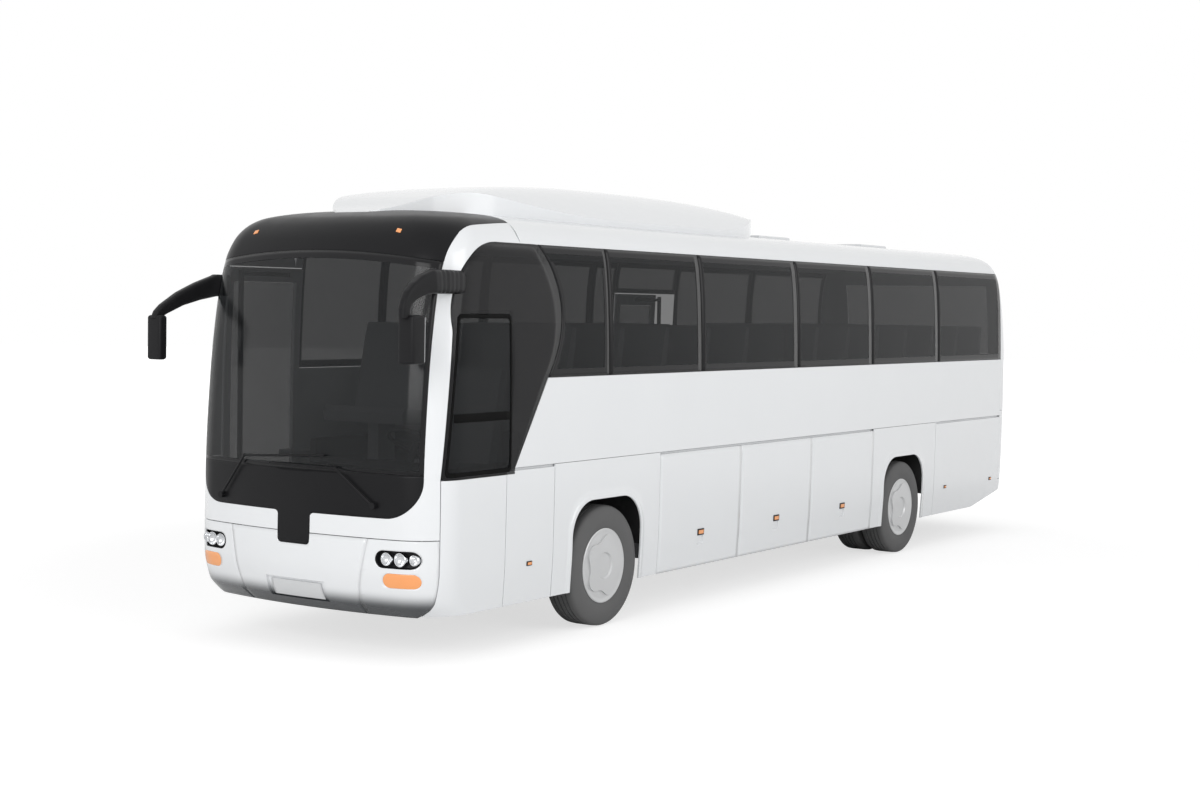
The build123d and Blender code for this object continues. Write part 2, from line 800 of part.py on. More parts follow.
mask_zone = mask_zone_of()
keep("front_mask", skirt_skin & mask_zone)
keep("front_panel", (skirt_skin & front_zone) - mask_zone)
bumper = (skirt_skin & block(
    corner_front_x, beyond_nose, -half_width, half_width, SKIRT_FOOT - OVERRUN, BUMPER_SEAM
)) - mask_zone
headlamps = []
turn_lamps = []
for side in (-1, 1):
    opening = pill(side * LAMP_Y, LAMP_Z, LAMP_LENGTH, LAMP_HEIGHT)
    around = pill(side * LAMP_Y, LAMP_Z, LAMP_LENGTH + 2 * LAMP_RIM, LAMP_HEIGHT + 2 * LAMP_RIM)
    bowl = ((inside_panel - inside_lamp) & around) - (opening - inside_wall)
    for ring_y, radius in LAMP_RINGS:
        place = Plane.YZ.offset(corner_front_x) * Pos(side * ring_y, LAMP_Z)
        tube = extrude(place * (Circle(radius) - Circle(radius - LAMP_TUBE)), amount=OVERRUN * 4)
        bowl = bowl + ((tube & inside_glass) - inside_wall)
    headlamps.append(bowl)
    turn_zone = pill(side * TURN_Y, TURN_Z, TURN_LENGTH, TURN_HEIGHT)
    lens_zone = pill(side * TURN_Y, TURN_Z, TURN_LENGTH - 2 * SEAT_GAP, TURN_HEIGHT - 2 * SEAT_GAP)
    turn_lamps.append(skirt_skin & lens_zone)
    dome_lamp_x = ahead(DOME_LAMP_X)
    turn_lamps.append(lip_skin & block(
        dome_lamp_x - DOME_LAMP_HALF, dome_lamp_x + DOME_LAMP_HALF,
        side * DOME_LAMP_Y - DOME_LAMP_HALF, side * DOME_LAMP_Y + DOME_LAMP_HALF, BROW, above_roof,
    ))
    bumper = bumper - opening - turn_zone - seam_cut(side)
keep_all("front_bumper", [bumper])
keep_all("headlamps", headlamps)
keep_all("turn_lamps", turn_lamps)
keep("windscreen", glass_skin & screen_zone)

door_front_edge = front_door_front + SWING_GAP
door_top_edge = DOOR_TOP + SWING_GAP
left_corner = zone_box(corner_seam_x, corner_front_x, SKIRT_FOOT - OVERRUN, CORNER_TOP, 1)
right_corner = zone_box(door_front_edge, corner_front_x, SKIRT_FOOT - OVERRUN, SCREEN_FOOT, -1)
skirt_panels.append(skirt_skin & left_corner)
skirt_panels.append(skirt_skin & right_corner)
keep_all("skirt_panels", skirt_panels)

# Driver's side window zone, with its curved front edge along the white pillar band
pillar_foot = (corner_front_x, CORNER_TOP)
pillar_bend = (ahead(PILLAR_BEND_X), PILLAR_BEND_Z)
pillar_middle = (ahead(PILLAR_MIDDLE_X), PILLAR_MIDDLE_Z)
pillar_top = (ahead(PILLAR_TOP_X), GLASS_TOP)


def driver_face():
    """Return the outline of the black surround of the driver's window."""
    edges = [
        Line(pillar_foot, pillar_bend),
        ThreePointArc(pillar_bend, pillar_middle, pillar_top),
        Line(pillar_top, (ahead(SLANT_TOP), GLASS_TOP)),
        Line((ahead(SLANT_TOP), GLASS_TOP), (ahead(SLANT_TOP), GLASS_FOOT)),
        Line((ahead(SLANT_TOP), GLASS_FOOT), (ahead(SLANT_FOOT), WAIST)),
        Line((ahead(SLANT_FOOT), WAIST), (ahead(SLANT_FOOT), CORNER_TOP)),
        Line((ahead(SLANT_FOOT), CORNER_TOP), pillar_foot),
    ]
    return make_face(Wire(edges))


driver_zone = extrude(Plane.XZ.offset(-BODY_WIDTH) * driver_face(), amount=BODY_WIDTH)
window_points = [
    (ahead(WINDOW_REAR), WINDOW_FOOT),
    (ahead(WINDOW_FRONT_FOOT), WINDOW_FOOT),
    (ahead(WINDOW_FRONT_TOP), WINDOW_TOP),
    (ahead(WINDOW_REAR), WINDOW_TOP),
]
window_face = fillet(make_face(Polyline(*window_points, close=True)).vertices(), WINDOW_ROUND)
window_zone = extrude(Plane.XZ.offset(-BODY_WIDTH) * window_face, amount=BODY_WIDTH)
surround = (skirt_skin & driver_zone) - window_zone
keep("driver_surround", surround)
window_panes.append(glass_skin & window_zone)
keep_all("window_panes", window_panes)

band_left = wall_skin & block(cap_x, beyond_nose, band_y, BODY_WIDTH, CORNER_TOP, above_roof)
band_left = band_left - driver_zone - block(cap_x, beyond_nose, 0, BODY_WIDTH, 0, SCREEN_FOOT)
band_left = band_left - side_zone(slant, 1)
band_left = band_left - zone_box(cap_x, ahead(SLANT_FOOT), SCREEN_FOOT, WAIST, 1)
right_band_points = [
    (door_rear_edge, door_top_edge),
    (door_front_edge, door_top_edge),
    (door_front_edge, SCREEN_FOOT),
    (beyond_nose, SCREEN_FOOT),
    (beyond_nose, above_roof),
    (cap_x, above_roof),
    (cap_x, GLASS_TOP),
    (door_rear_edge, GLASS_TOP),
]
band_right = (wall_skin & side_zone(right_band_points, -1)) & block(
    door_rear_edge, beyond_nose, -BODY_WIDTH, -band_y, 0, above_roof
)

# Doors on swing arms
DOOR_GLASS_FOOT = 1250
DOOR_FRAME = 75
ARM_LOW = 1080
ARM_DROP = 60
ARM_INSET = 70
POST_Y = 1120
POST_RADIUS = 22
FIRST_STEP = 430
STEP_RISE = 235
STEP_GOING = 270
AISLE_EDGE = 450
ARM_RADIUS = 16
ARM_BULGE = 90
FRONT_ARM = 550
MIDDLE_ARM = 470
EYE_RADIUS = 22
EYE_HEIGHT = 36
EYE_PIN = 8
RUNNING = 0.1
CLEVIS_PLATE = 8
CLEVIS_SPACE = 5

door_sizes = {
    "front": (front_door_x, front_door_front, DOOR_TOP, front_door_front - ARM_INSET, -1, FRONT_ARM),
    "middle": (middle_door_x, middle_door_front, MIDDLE_DOOR_TOP, middle_door_x + ARM_INSET, 1, MIDDLE_ARM),
}
posts = {}
for name, (rear, front, top, post_x, way, reach) in door_sizes.items():
    leaf_zone = zone_box(rear, front, DOOR_FOOT, top, -1)
    glass_zone = zone_box(
        rear + DOOR_FRAME, front - DOOR_FRAME, DOOR_GLASS_FOOT, top - 1.6 * DOOR_FRAME, -1
    )
    leaf = (door_skin & leaf_zone) - glass_zone
    pin_x = post_x + way * reach
    arm_top = top - ARM_DROP
    post_foot = FIRST_STEP + SEAT_GAP
    post_height = arm_top + EYE_HEIGHT - post_foot
    arm = Pos(post_x, -POST_Y, post_foot + post_height / 2) * Cylinder(POST_RADIUS, post_height)
    for z in (ARM_LOW, arm_top):
        start = (post_x, -POST_Y, z)
        end = (pin_x, -POST_Y, z)
        middle = ((post_x + pin_x) / 2, ARM_BULGE - POST_Y, z)
        path = ThreePointArc(start, middle, end)
        ring = Plane(origin=path @ 0, z_dir=path % 0) * Circle(ARM_RADIUS)
        arm = arm + sweep(ring, path=path)
        arm = arm + Pos(*end) * Cylinder(EYE_RADIUS, EYE_HEIGHT)
        arm = arm - Pos(*end) * Cylinder(EYE_PIN + RUNNING, EYE_HEIGHT * 2)
        plate_z = EYE_HEIGHT / 2 + CLEVIS_SPACE
        for flip in (-1, 1):
            low = z + flip * plate_z
            plate = block(
                pin_x - EYE_RADIUS, pin_x + EYE_RADIUS, -half_width, EYE_RADIUS - POST_Y,
                min(low, low + flip * CLEVIS_PLATE), max(low, low + flip * CLEVIS_PLATE),
            )
            leaf = leaf + (plate & inside_glass)
        leaf = leaf + Pos(*end) * Cylinder(EYE_PIN, 2 * plate_z + CLEVIS_PLATE)
    keep(f"{name}_door", leaf)
    keep(f"{name}_door_glass", glass_skin & glass_zone)
    keep(f"{name}_door_arm", arm)
    plate_low = post_foot + post_height + SEAT_GAP
    hanger_foot = top + SWING_GAP * 1.25
    hanger_top = hanger_foot + CLEVIS_PLATE * 3
    hanger = block(
        post_x - POST_RADIUS, post_x + POST_RADIUS, -POST_Y - 2 * POST_RADIUS, POST_RADIUS - POST_Y,
        plate_low, hanger_top,
    )
    hanger = hanger + block(
        post_x - POST_RADIUS, post_x + POST_RADIUS, -half_width, POST_RADIUS - POST_Y,
        hanger_foot, hanger_top,
    )
    posts[name] = hanger & inside_pillar
keep_all("pillar_bands", [band_left, band_right + posts["front"]])
keep_all("side_walls", [left_wall, right_wall + posts["middle"]])


def ring_of(points, x, y, z):
    """Return a profile of radius and place across the wheel, turned about the wheel's axis."""
    face = Plane.XY * make_face(Polyline(*points, close=True))
    return Pos(x, y, z) * revolve(face, axis=Axis.Y)


# Tyre section. Columns: radius as a share of the way from bead to tread,
# then half width as a share of the tyre's half width.
TYRE_SHARES = (
    (0.00, 0.78), (0.07, 0.78), (0.17, 0.86), (0.34, 0.96), (0.52, 1.00), (0.70, 0.98), (0.86, 0.92), (0.95, 0.84),
)
TYRE_WALL = 22
TREAD_WALL = 32


def tyre(x, y):
    """Return a hollow tyre, open to its rim."""
    height = TYRE_RADIUS - RIM_SEAT
    half = TYRE_WIDTH / 2
    outside = [(RIM_SEAT + r * height, w * half) for r, w in TYRE_SHARES]
    crown = [(TYRE_RADIUS, TREAD_WIDTH / 2 * 0.8)]
    inner_top = TYRE_RADIUS - TREAD_WALL
    inside = [
        (inner_top, half * 0.72),
        (RIM_SEAT + height * 0.5, half - TYRE_WALL),
        (RIM_SEAT, TYRE_SHARES[0][1] * half - TYRE_WALL),
    ]
    right = outside + crown
    left = [(r, -w) for r, w in right[::-1]]
    inner_left = [(r, -w) for r, w in inside[::-1]]
    points = right + left + inner_left + inside
    return ring_of(points, x, y, TYRE_RADIUS)


RIM_WALL = 8
DISC_INSET = 70
DISC_WALL = 14
TWIN_HUB_LENGTH = 400
INNER_DISC = 90


def cover(x, side):
    """Return a wheel cover: a dished ring, a raised plate with rounded lobes and a sunk middle."""
    face_y = TYRE_FACE - COVER_INSET
    back = face_y - COVER_THICKNESS
    base = ring_of(
        [(0, back), (COVER_RADIUS, back), (COVER_RADIUS, face_y - COVER_THICKNESS / 2), (COVER_EDGE, face_y),
         (COVER_FLAT, face_y - COVER_THICKNESS / 2), (0, face_y - COVER_THICKNESS / 2)],
        x, 0, TYRE_RADIUS,
    )
    quarter = pi / LOBE_COUNT / 2
    middle = (LOBE_TIP + LOBE_DIP) / 2
    edges = []
    for count in range(LOBE_COUNT * 2):
        turn = LOBE_START / 180 * pi + count * 2 * quarter
        reach = LOBE_DIP if count % 2 else LOBE_TIP
        stops = [(middle, turn - quarter), (reach, turn), (middle, turn + quarter)]
        edges.append(ThreePointArc(*[(r * cos(a), r * sin(a)) for r, a in stops]))
    lobes = Plane(origin=(x, back, TYRE_RADIUS), x_dir=(1, 0, 0), z_dir=(0, -1, 0)) * make_face(Wire(edges))
    plate = extrude(lobes, amount=-(COVER_THICKNESS + LOBE_RISE))
    dish = ring_of(
        [(0, face_y + LOBE_RISE - DISH_DEPTH), (DISH_FLOOR, face_y + LOBE_RISE - DISH_DEPTH),
         (DISH_RADIUS, face_y + LOBE_RISE + COVER_THICKNESS), (0, face_y + LOBE_RISE + COVER_THICKNESS)],
        x, 0, TYRE_RADIUS,
    )
    result = base + plate - dish
    return result if side > 0 else mirror(result, about=Plane.XZ)


def rim(x, y, side, disc_y, hub_length):
    """Return a rim with its disc, and its hub and cover where it has them."""
    half = TYRE_SHARES[0][1] * TYRE_WIDTH / 2 + RIM_WALL
    points = [
        (RIM_SEAT, half - RIM_WALL),
        (RIM_RADIUS, half - RIM_WALL),
        (RIM_RADIUS, half),
        (RIM_SEAT - RIM_WALL, half),
        (RIM_SEAT - RIM_WALL, -half),
        (RIM_RADIUS, -half),
        (RIM_RADIUS, RIM_WALL - half),
        (RIM_SEAT, RIM_WALL - half),
    ]
    wheel = ring_of(points, x, y, TYRE_RADIUS)
    wheel = wheel + along_y(RIM_SEAT - RIM_WALL / 2, DISC_WALL, x, disc_y, TYRE_RADIUS)
    if hub_length:
        hub_start = disc_y - side * hub_length
        hub_end = side * (TYRE_FACE - COVER_INSET - COVER_THICKNESS * 0.75)
        wheel = wheel + along_y(
            HUB_RADIUS, abs(hub_end - hub_start), x, (hub_start + hub_end) / 2, TYRE_RADIUS
        )
        wheel = wheel + cover(x, side)
    return wheel


def spindle_bore(x, disc_y, side, hub_length):
    """Return the bore through a wheel's hub, stopping at its outer disc."""
    length = hub_length + DISC_WALL
    middle = disc_y - side * (length / 2 + DISC_WALL / 2)
    return along_y(SPINDLE_RADIUS + RUNNING, length, x, middle, TYRE_RADIUS)


for side, word in ((1, "left"), (-1, "right")):
    y = side * tyre_y
    disc_y = side * (TYRE_FACE - DISC_INSET)
    keep(f"front_tyre_{word}", tyre(front_axle_x, y))
    bore = spindle_bore(front_axle_x, disc_y, side, HUB_LENGTH)
    keep(f"front_rim_{word}", rim(front_axle_x, y, side, disc_y, HUB_LENGTH) - bore)
    inner_y = side * inner_tyre_y
    keep(f"rear_tyres_{word}", Compound(children=[tyre(rear_axle_x, y), tyre(rear_axle_x, inner_y)]))
    twin = rim(rear_axle_x, y, side, disc_y, TWIN_HUB_LENGTH)
    inner_twin = rim(rear_axle_x, inner_y, side, inner_y + side * INNER_DISC, 0)
    bore = spindle_bore(rear_axle_x, disc_y, side, TWIN_HUB_LENGTH)
    keep(f"rear_rims_{word}", twin + inner_twin - bore)

# Front axle beam, knuckles and tie rod
ARM_BACK = 220
TIE_RADIUS = 18
BOSS_HEIGHT = 110
KNUCKLE_BACK = 78
beam = block(
    front_axle_x - BEAM_WIDTH / 2, front_axle_x + BEAM_WIDTH / 2,
    -KINGPIN_Y + KNUCKLE_BACK * 2, KINGPIN_Y - KNUCKLE_BACK * 2,
    TYRE_RADIUS - BEAM_DROP - BEAM_HEIGHT / 2, TYRE_RADIUS - BEAM_DROP + BEAM_HEIGHT / 2,
)
for side, word in ((1, "left"), (-1, "right")):
    king_y = side * KINGPIN_Y
    inner_y = side * (KINGPIN_Y - KNUCKLE_BACK * 2)
    neck_y = side * (KINGPIN_Y - KNUCKLE_EYE - EYE_GAP)
    rise = front_prism(
        [
            (inner_y, TYRE_RADIUS - BEAM_DROP + BEAM_HEIGHT / 2),
            (inner_y, TYRE_RADIUS - BEAM_DROP - BEAM_HEIGHT / 2),
            (neck_y, TYRE_RADIUS - BOSS_HEIGHT / 2),
            (king_y, TYRE_RADIUS - BOSS_HEIGHT / 2),
            (king_y, TYRE_RADIUS + BOSS_HEIGHT / 2),
            (neck_y, TYRE_RADIUS + BOSS_HEIGHT / 2),
        ],
        front_axle_x - BEAM_WIDTH / 2, front_axle_x + BEAM_WIDTH / 2,
    )
    boss = Pos(front_axle_x, king_y, TYRE_RADIUS) * Cylinder(KNUCKLE_EYE, BOSS_HEIGHT)
    bore = Pos(front_axle_x, king_y, TYRE_RADIUS) * Cylinder(KINGPIN_RADIUS + RUNNING, BOSS_HEIGHT * 2)
    beam = beam + rise + boss - bore
    knuckle = Pos(front_axle_x, king_y, TYRE_RADIUS) * Cylinder(KINGPIN_RADIUS, KINGPIN_LENGTH)
    eye_z = BOSS_HEIGHT / 2 + SEAT_GAP + KNUCKLE_EYE_HEIGHT / 2
    back_y = side * (KINGPIN_Y + KNUCKLE_BACK)
    for flip in (-1, 1):
        z = TYRE_RADIUS + flip * eye_z
        knuckle = knuckle + Pos(front_axle_x, king_y, z) * Cylinder(KNUCKLE_EYE, KNUCKLE_EYE_HEIGHT)
        knuckle = knuckle + block(
            front_axle_x - KNUCKLE_EYE, front_axle_x + KNUCKLE_EYE, king_y, back_y,
            z - KNUCKLE_EYE_HEIGHT / 2, z + KNUCKLE_EYE_HEIGHT / 2,
        )
    reach = eye_z + KNUCKLE_EYE_HEIGHT / 2
    knuckle = knuckle + block(
        front_axle_x - KNUCKLE_EYE, front_axle_x + KNUCKLE_EYE,
        side * (KINGPIN_Y + KNUCKLE_EYE + EYE_GAP), back_y, TYRE_RADIUS - reach, TYRE_RADIUS + reach,
    )
    tip_y = side * (TYRE_FACE - DISC_INSET - DISC_WALL)
    knuckle = knuckle + along_y(
        SPINDLE_RADIUS, abs(tip_y - back_y), front_axle_x, (tip_y + back_y) / 2, TYRE_RADIUS
    )
    steer_z = TYRE_RADIUS - reach
    knuckle = knuckle + block(
        front_axle_x - ARM_BACK, front_axle_x, king_y - KINGPIN_RADIUS, king_y + KINGPIN_RADIUS,
        steer_z, steer_z + TIE_RADIUS,
    )
    knuckle = knuckle + Pos(front_axle_x - ARM_BACK, king_y, steer_z + TIE_RADIUS / 2) * Cylinder(
        KINGPIN_RADIUS, TIE_RADIUS
    )
    knuckle = knuckle + Pos(front_axle_x - ARM_BACK, king_y, steer_z - TIE_RADIUS) * Cylinder(
        EYE_PIN, TIE_RADIUS * 2
    )
    keep(f"knuckle_{word}", knuckle)
TIE_EYE = 44
tie_z = steer_z - SEAT_GAP - TIE_EYE / 2
tie_rod = along_y(TIE_RADIUS, 2 * KINGPIN_Y, front_axle_x - ARM_BACK, 0, tie_z)
for side in (-1, 1):
    place = Pos(front_axle_x - ARM_BACK, side * KINGPIN_Y, tie_z)
    tie_rod = tie_rod + place * Cylinder(KINGPIN_RADIUS, TIE_EYE)
for side in (-1, 1):
    place = Pos(front_axle_x - ARM_BACK, side * KINGPIN_Y, tie_z)
    tie_rod = tie_rod - place * Cylinder(EYE_PIN + RUNNING, TIE_RADIUS * 4)
keep("tie_rod", tie_rod)

# Air springs stand between the axles and the frame
SPRING_RADIUS = 110
SPRING_SEAT = 30
PAD_HALF = 90


def pad(x, y, low, high):
    """Return a square pad between two levels."""
    return block(x - PAD_HALF, x + PAD_HALF, y - PAD_HALF, y + PAD_HALF, low, high)


spring_foot = TYRE_RADIUS + AXLE_TUBE_RADIUS + SPRING_SEAT
springs = []
for side in (-1, 1):
    y = side * RAIL_SPACING
    beam = beam + pad(front_axle_x, y, TYRE_RADIUS - BEAM_DROP, spring_foot)
    for x in (front_axle_x, rear_axle_x):
        height = RAIL_FOOT - spring_foot
        springs.append(Pos(x, y, spring_foot + height / 2) * Cylinder(SPRING_RADIUS, height))
keep("front_axle", beam)
keep("air_springs", Compound(children=springs))

axle_reach = TYRE_FACE - DISC_INSET - DISC_WALL
rear_axle = along_y(SPINDLE_RADIUS, 2 * axle_reach, rear_axle_x, 0, TYRE_RADIUS)
tube_half = axle_reach - TWIN_HUB_LENGTH - EYE_GAP
rear_axle = rear_axle + along_y(AXLE_TUBE_RADIUS, 2 * tube_half, rear_axle_x, 0, TYRE_RADIUS)
rear_axle = rear_axle + along_y(DIFFERENTIAL_RADIUS, DIFFERENTIAL_LENGTH, rear_axle_x, 0, TYRE_RADIUS)
for side in (-1, 1):
    rear_axle = rear_axle + pad(rear_axle_x, side * RAIL_SPACING, TYRE_RADIUS, spring_foot)
keep("rear_axle", rear_axle)

# Frames, bulkheads and the luggage hold
floor_foot = FLOOR_TOP - FLOOR_THICKNESS
hold_front_x = ahead(HOLD_FRONT)
hold_rear_x = ahead(HOLD_REAR)
rail_top = PLATFORM_TOP - FLOOR_THICKNESS
engine_front_x = tail_x + ENGINE_TAIL_GAP + ENGINE_LENGTH
CROSS_SIZE = 60


def rail(x0, x1, side):
    """Return one side rail of a frame."""
    y = side * RAIL_SPACING
    return block(x0, x1, y - RAIL_SIZE / 2, y + RAIL_SIZE / 2, RAIL_FOOT, rail_top)


frame_front_x = ahead(FRAME_FRONT)
front_frame = rail(hold_front_x, frame_front_x, 1) + rail(hold_front_x, frame_front_x, -1)
rear_frame = rail(engine_seam_x + WALL, hold_rear_x, 1) + rail(engine_seam_x + WALL, hold_rear_x, -1)
for share in (0.0, 0.5, 1.0):
    x = hold_front_x + share * (frame_front_x - hold_front_x - CROSS_SIZE)
    cross = block(x, x + CROSS_SIZE, -RAIL_SPACING, RAIL_SPACING, RAIL_FOOT, rail_top)
    front_frame = front_frame + cross
    x = engine_front_x + share * (hold_rear_x - engine_front_x - CROSS_SIZE)
    cross = block(x, x + CROSS_SIZE, -RAIL_SPACING, RAIL_SPACING, RAIL_FOOT, rail_top)
    rear_frame = rear_frame + cross

HOLD_HALF_WIDTH = 1225
hold = block(hold_rear_x, hold_front_x, -HOLD_HALF_WIDTH, HOLD_HALF_WIDTH, HOLD_FLOOR - PLATE * 5, HOLD_FLOOR)
for x in (hold_rear_x, hold_front_x - PLATE * 5):
    hold = hold + block(x, x + PLATE * 5, -HOLD_HALF_WIDTH, HOLD_HALF_WIDTH, HOLD_FLOOR, floor_foot)
mid_well = block(
    middle_rear_edge - PLATE, middle_front_edge + PLATE, -BODY_WIDTH, -RAIL_SPACING, 0, floor_foot
)
keep("luggage_hold", hold - mid_well)

engine = block(
    tail_x + ENGINE_TAIL_GAP, engine_front_x - SEAT_GAP, -RAIL_SPACING + RAIL_SIZE / 2 + SEAT_GAP,
    RAIL_SPACING - RAIL_SIZE / 2 - SEAT_GAP, ENGINE_FOOT, ENGINE_FOOT + ENGINE_HEIGHT,
)
keep("engine", engine)
TOW_LEVEL = 520
TOW_PLATE = 40
TOW_HOLE = 22
TOW_HALF = 50
TOW_REACH = 110
tow_x = frame_front_x + TOW_REACH - TOW_HALF
tow_lug = block(
    frame_front_x - CROSS_SIZE, frame_front_x, -TOW_HALF, TOW_HALF, TOW_LEVEL - TOW_PLATE / 2, RAIL_FOOT
)
tow_lug = tow_lug + block(
    frame_front_x, frame_front_x + TOW_REACH, -TOW_HALF, TOW_HALF,
    TOW_LEVEL - TOW_PLATE / 2, TOW_LEVEL + TOW_PLATE / 2,
)
tow_lug = tow_lug - Pos(tow_x, 0, TOW_LEVEL) * Cylinder(TOW_HOLE, TOW_PLATE * 2)
keep_all("frames", [front_frame + tow_lug, rear_frame])

# Floor with its side upstands, steps and the driver's platform
SILL_TOP = 1520
SILL_WIDTH = 60
STEP_FRONT_X = 2150
SALOON_FRONT_X = 980
floor_rear_x = tail_x + WALL * 2
saloon_front_x = ahead(SALOON_FRONT_X)
sill_y = half_width - WALL - SEAT_GAP
floor = block(floor_rear_x, saloon_front_x, -sill_y, sill_y, floor_foot, FLOOR_TOP)
for side in (-1, 1):
    floor = floor + block(
        engine_seam_x, saloon_front_x, side * (sill_y - SILL_WIDTH), side * sill_y, floor_foot, SILL_TOP
    )
floor = floor & shell(WALL + SEAT_GAP * 2)
platform_front = ahead(STEP_FRONT_X)
floor = floor + block(
    saloon_front_x - FLOOR_THICKNESS, platform_front, -AISLE_EDGE, half_width - WALL,
    PLATFORM_TOP - FLOOR_THICKNESS, PLATFORM_TOP,
)
floor = floor + block(
    saloon_front_x - FLOOR_THICKNESS, saloon_front_x, -AISLE_EDGE, sill_y - SILL_WIDTH,
    PLATFORM_TOP, FLOOR_TOP,
)


def stair(x0, x1, top):
    """Return the steps behind a door, from the door up to a level at the aisle's edge."""
    shape = None
    step_z = FIRST_STEP
    y = -(half_width - DOOR_WALL * 2)
    while step_z < top:
        tread = block(x0, x1, y, -AISLE_EDGE, step_z - FLOOR_THICKNESS, step_z)
        riser = block(x0, x1, y, y + FLOOR_THICKNESS / 2, step_z - STEP_RISE, step_z)
        piece = tread if shape is None else tread + riser
        shape = piece if shape is None else shape + piece
        step_z = step_z + STEP_RISE
        y = y + STEP_GOING
    stringer = block(
        x0, x1, -AISLE_EDGE - FLOOR_THICKNESS / 2, -AISLE_EDGE, FIRST_STEP - FLOOR_THICKNESS, top
    )
    return shape + stringer


well = block(
    middle_rear_edge, middle_front_edge, -BODY_WIDTH, -AISLE_EDGE, floor_foot - OVERRUN, SILL_TOP + OVERRUN
)
floor = floor - well
keep("floor", floor)
step_list = [
    stair(door_rear_edge + SWING_GAP, door_front_edge - SWING_GAP, PLATFORM_TOP),
    stair(middle_rear_edge + SWING_GAP, middle_front_edge - SWING_GAP, FLOOR_TOP),
]
keep("steps", Compound(children=step_list))

# Wheelhouses over the wheels
houses = []
for x, half in ((front_axle_x, HOUSE_HALF), (rear_axle_x, REAR_HOUSE_HALF)):
    for side in (-1, 1):
        outside = block(
            x - half, x + half, side * HOUSE_INNER, side * HOUSE_OUTER, SKIRT_BEND + WALL * 3, floor_foot
        )
        hollow = block(
            x - half + PLATE, x + half - PLATE, side * (HOUSE_INNER + PLATE), side * BODY_WIDTH,
            0, floor_foot - PLATE,
        )
        houses.append(outside - hollow)
keep("wheelhouses", Compound(children=houses))

# Seats, from a side profile. Columns: distance ahead of the hip and height over the floor,
# as shares of the cushion's depth and of the back's height.
SEAT_SHARES = (
    (-0.10, 0.44), (1.00, 0.46), (1.04, 0.58), (0.96, 0.65), (0.10, 0.60),
    (-0.22, 1.50), (-0.30, 1.66), (-0.42, 1.64), (-0.40, 1.46),
)


def seat(x, y0, y1, floor_z):
    """Return a seat with its back, cushion and leg."""
    points = [(x + a * CUSHION_DEPTH, floor_z + b * BACK_HEIGHT) for a, b in SEAT_SHARES]
    shape = side_prism(points, y0, y1)
    middle = (y0 + y1) / 2
    leg = block(
        x + 0.2 * CUSHION_DEPTH, x + 0.7 * CUSHION_DEPTH, middle - LEG_WIDTH, middle + LEG_WIDTH,
        floor_z, floor_z + 0.5 * BACK_HEIGHT,
    )
    return shape + leg


seat_outer = half_width - WALL - SEAT_WALL_GAP - SILL_WIDTH
seat_list = []
for side in (1, -1):
    row_list = []
    for row in range(SEAT_ROWS):
        x = ahead(SEAT_FIRST) - row * SEAT_PITCH
        over_well = x + CUSHION_DEPTH > middle_rear_edge and x - CUSHION_DEPTH / 2 < middle_front_edge
        if side < 0 and over_well:
            continue
        edges = sorted((side * seat_outer, side * (seat_outer - SEAT_PAIR_WIDTH)))
        row_list.append(seat(x, edges[0], edges[1], FLOOR_TOP))
    seat_list.extend(row_list)
bench_x = ahead(SEAT_FIRST) - SEAT_ROWS * SEAT_PITCH
seat_list.append(seat(bench_x, -seat_outer, seat_outer, FLOOR_TOP))
keep_all("seats", seat_list)
keep("driver_seat", seat(
    ahead(DRIVER_SEAT_X), DRIVER_Y - DRIVER_SEAT_HALF, DRIVER_Y + DRIVER_SEAT_HALF, PLATFORM_TOP
))

# Dashboard and steering wheel
dash_zone = block(
    platform_front, beyond_nose, -band_y, band_y, PLATFORM_TOP - FLOOR_THICKNESS, DASH_TOP
)
dash = inside_panel & dash_zone
binnacle_x = platform_front + FLOOR_THICKNESS / 4
binnacle = side_prism(
    [
        (binnacle_x, PLATFORM_TOP),
        (binnacle_x, DASH_TOP),
        (binnacle_x - BINNACLE_DEPTH, DASH_TOP + BINNACLE_RISE),
        (binnacle_x - BINNACLE_REACH, DASH_TOP - BINNACLE_RISE / 2),
        (binnacle_x - BINNACLE_DEPTH, PLATFORM_TOP),
    ],
    DRIVER_Y - BINNACLE_HALF, DRIVER_Y + BINNACLE_HALF,
)
keep("dashboard", dash + binnacle)
ring_x = ahead(STEERING_X)
ring_z = DASH_TOP + STEERING_RISE
ring = Pos(ring_x, DRIVER_Y, ring_z) * Rot(0, -STEERING_TILT, 0) * Torus(WHEEL_RING, WHEEL_TUBE)
column = Line((ring_x, DRIVER_Y, ring_z), (ring_x + COLUMN_REACH, DRIVER_Y, ring_z - COLUMN_DROP))
bar = Plane(origin=column @ 0, z_dir=column % 0) * Circle(WHEEL_TUBE * 2)
spoke = Pos(ring_x, DRIVER_Y, ring_z) * Rot(0, -STEERING_TILT, 0) * Box(
    WHEEL_TUBE * 2, WHEEL_RING * 2, WHEEL_TUBE
)
keep("steering_wheel", (ring + spoke + extrude(bar, amount=(column.length))) - nodes["dashboard"])

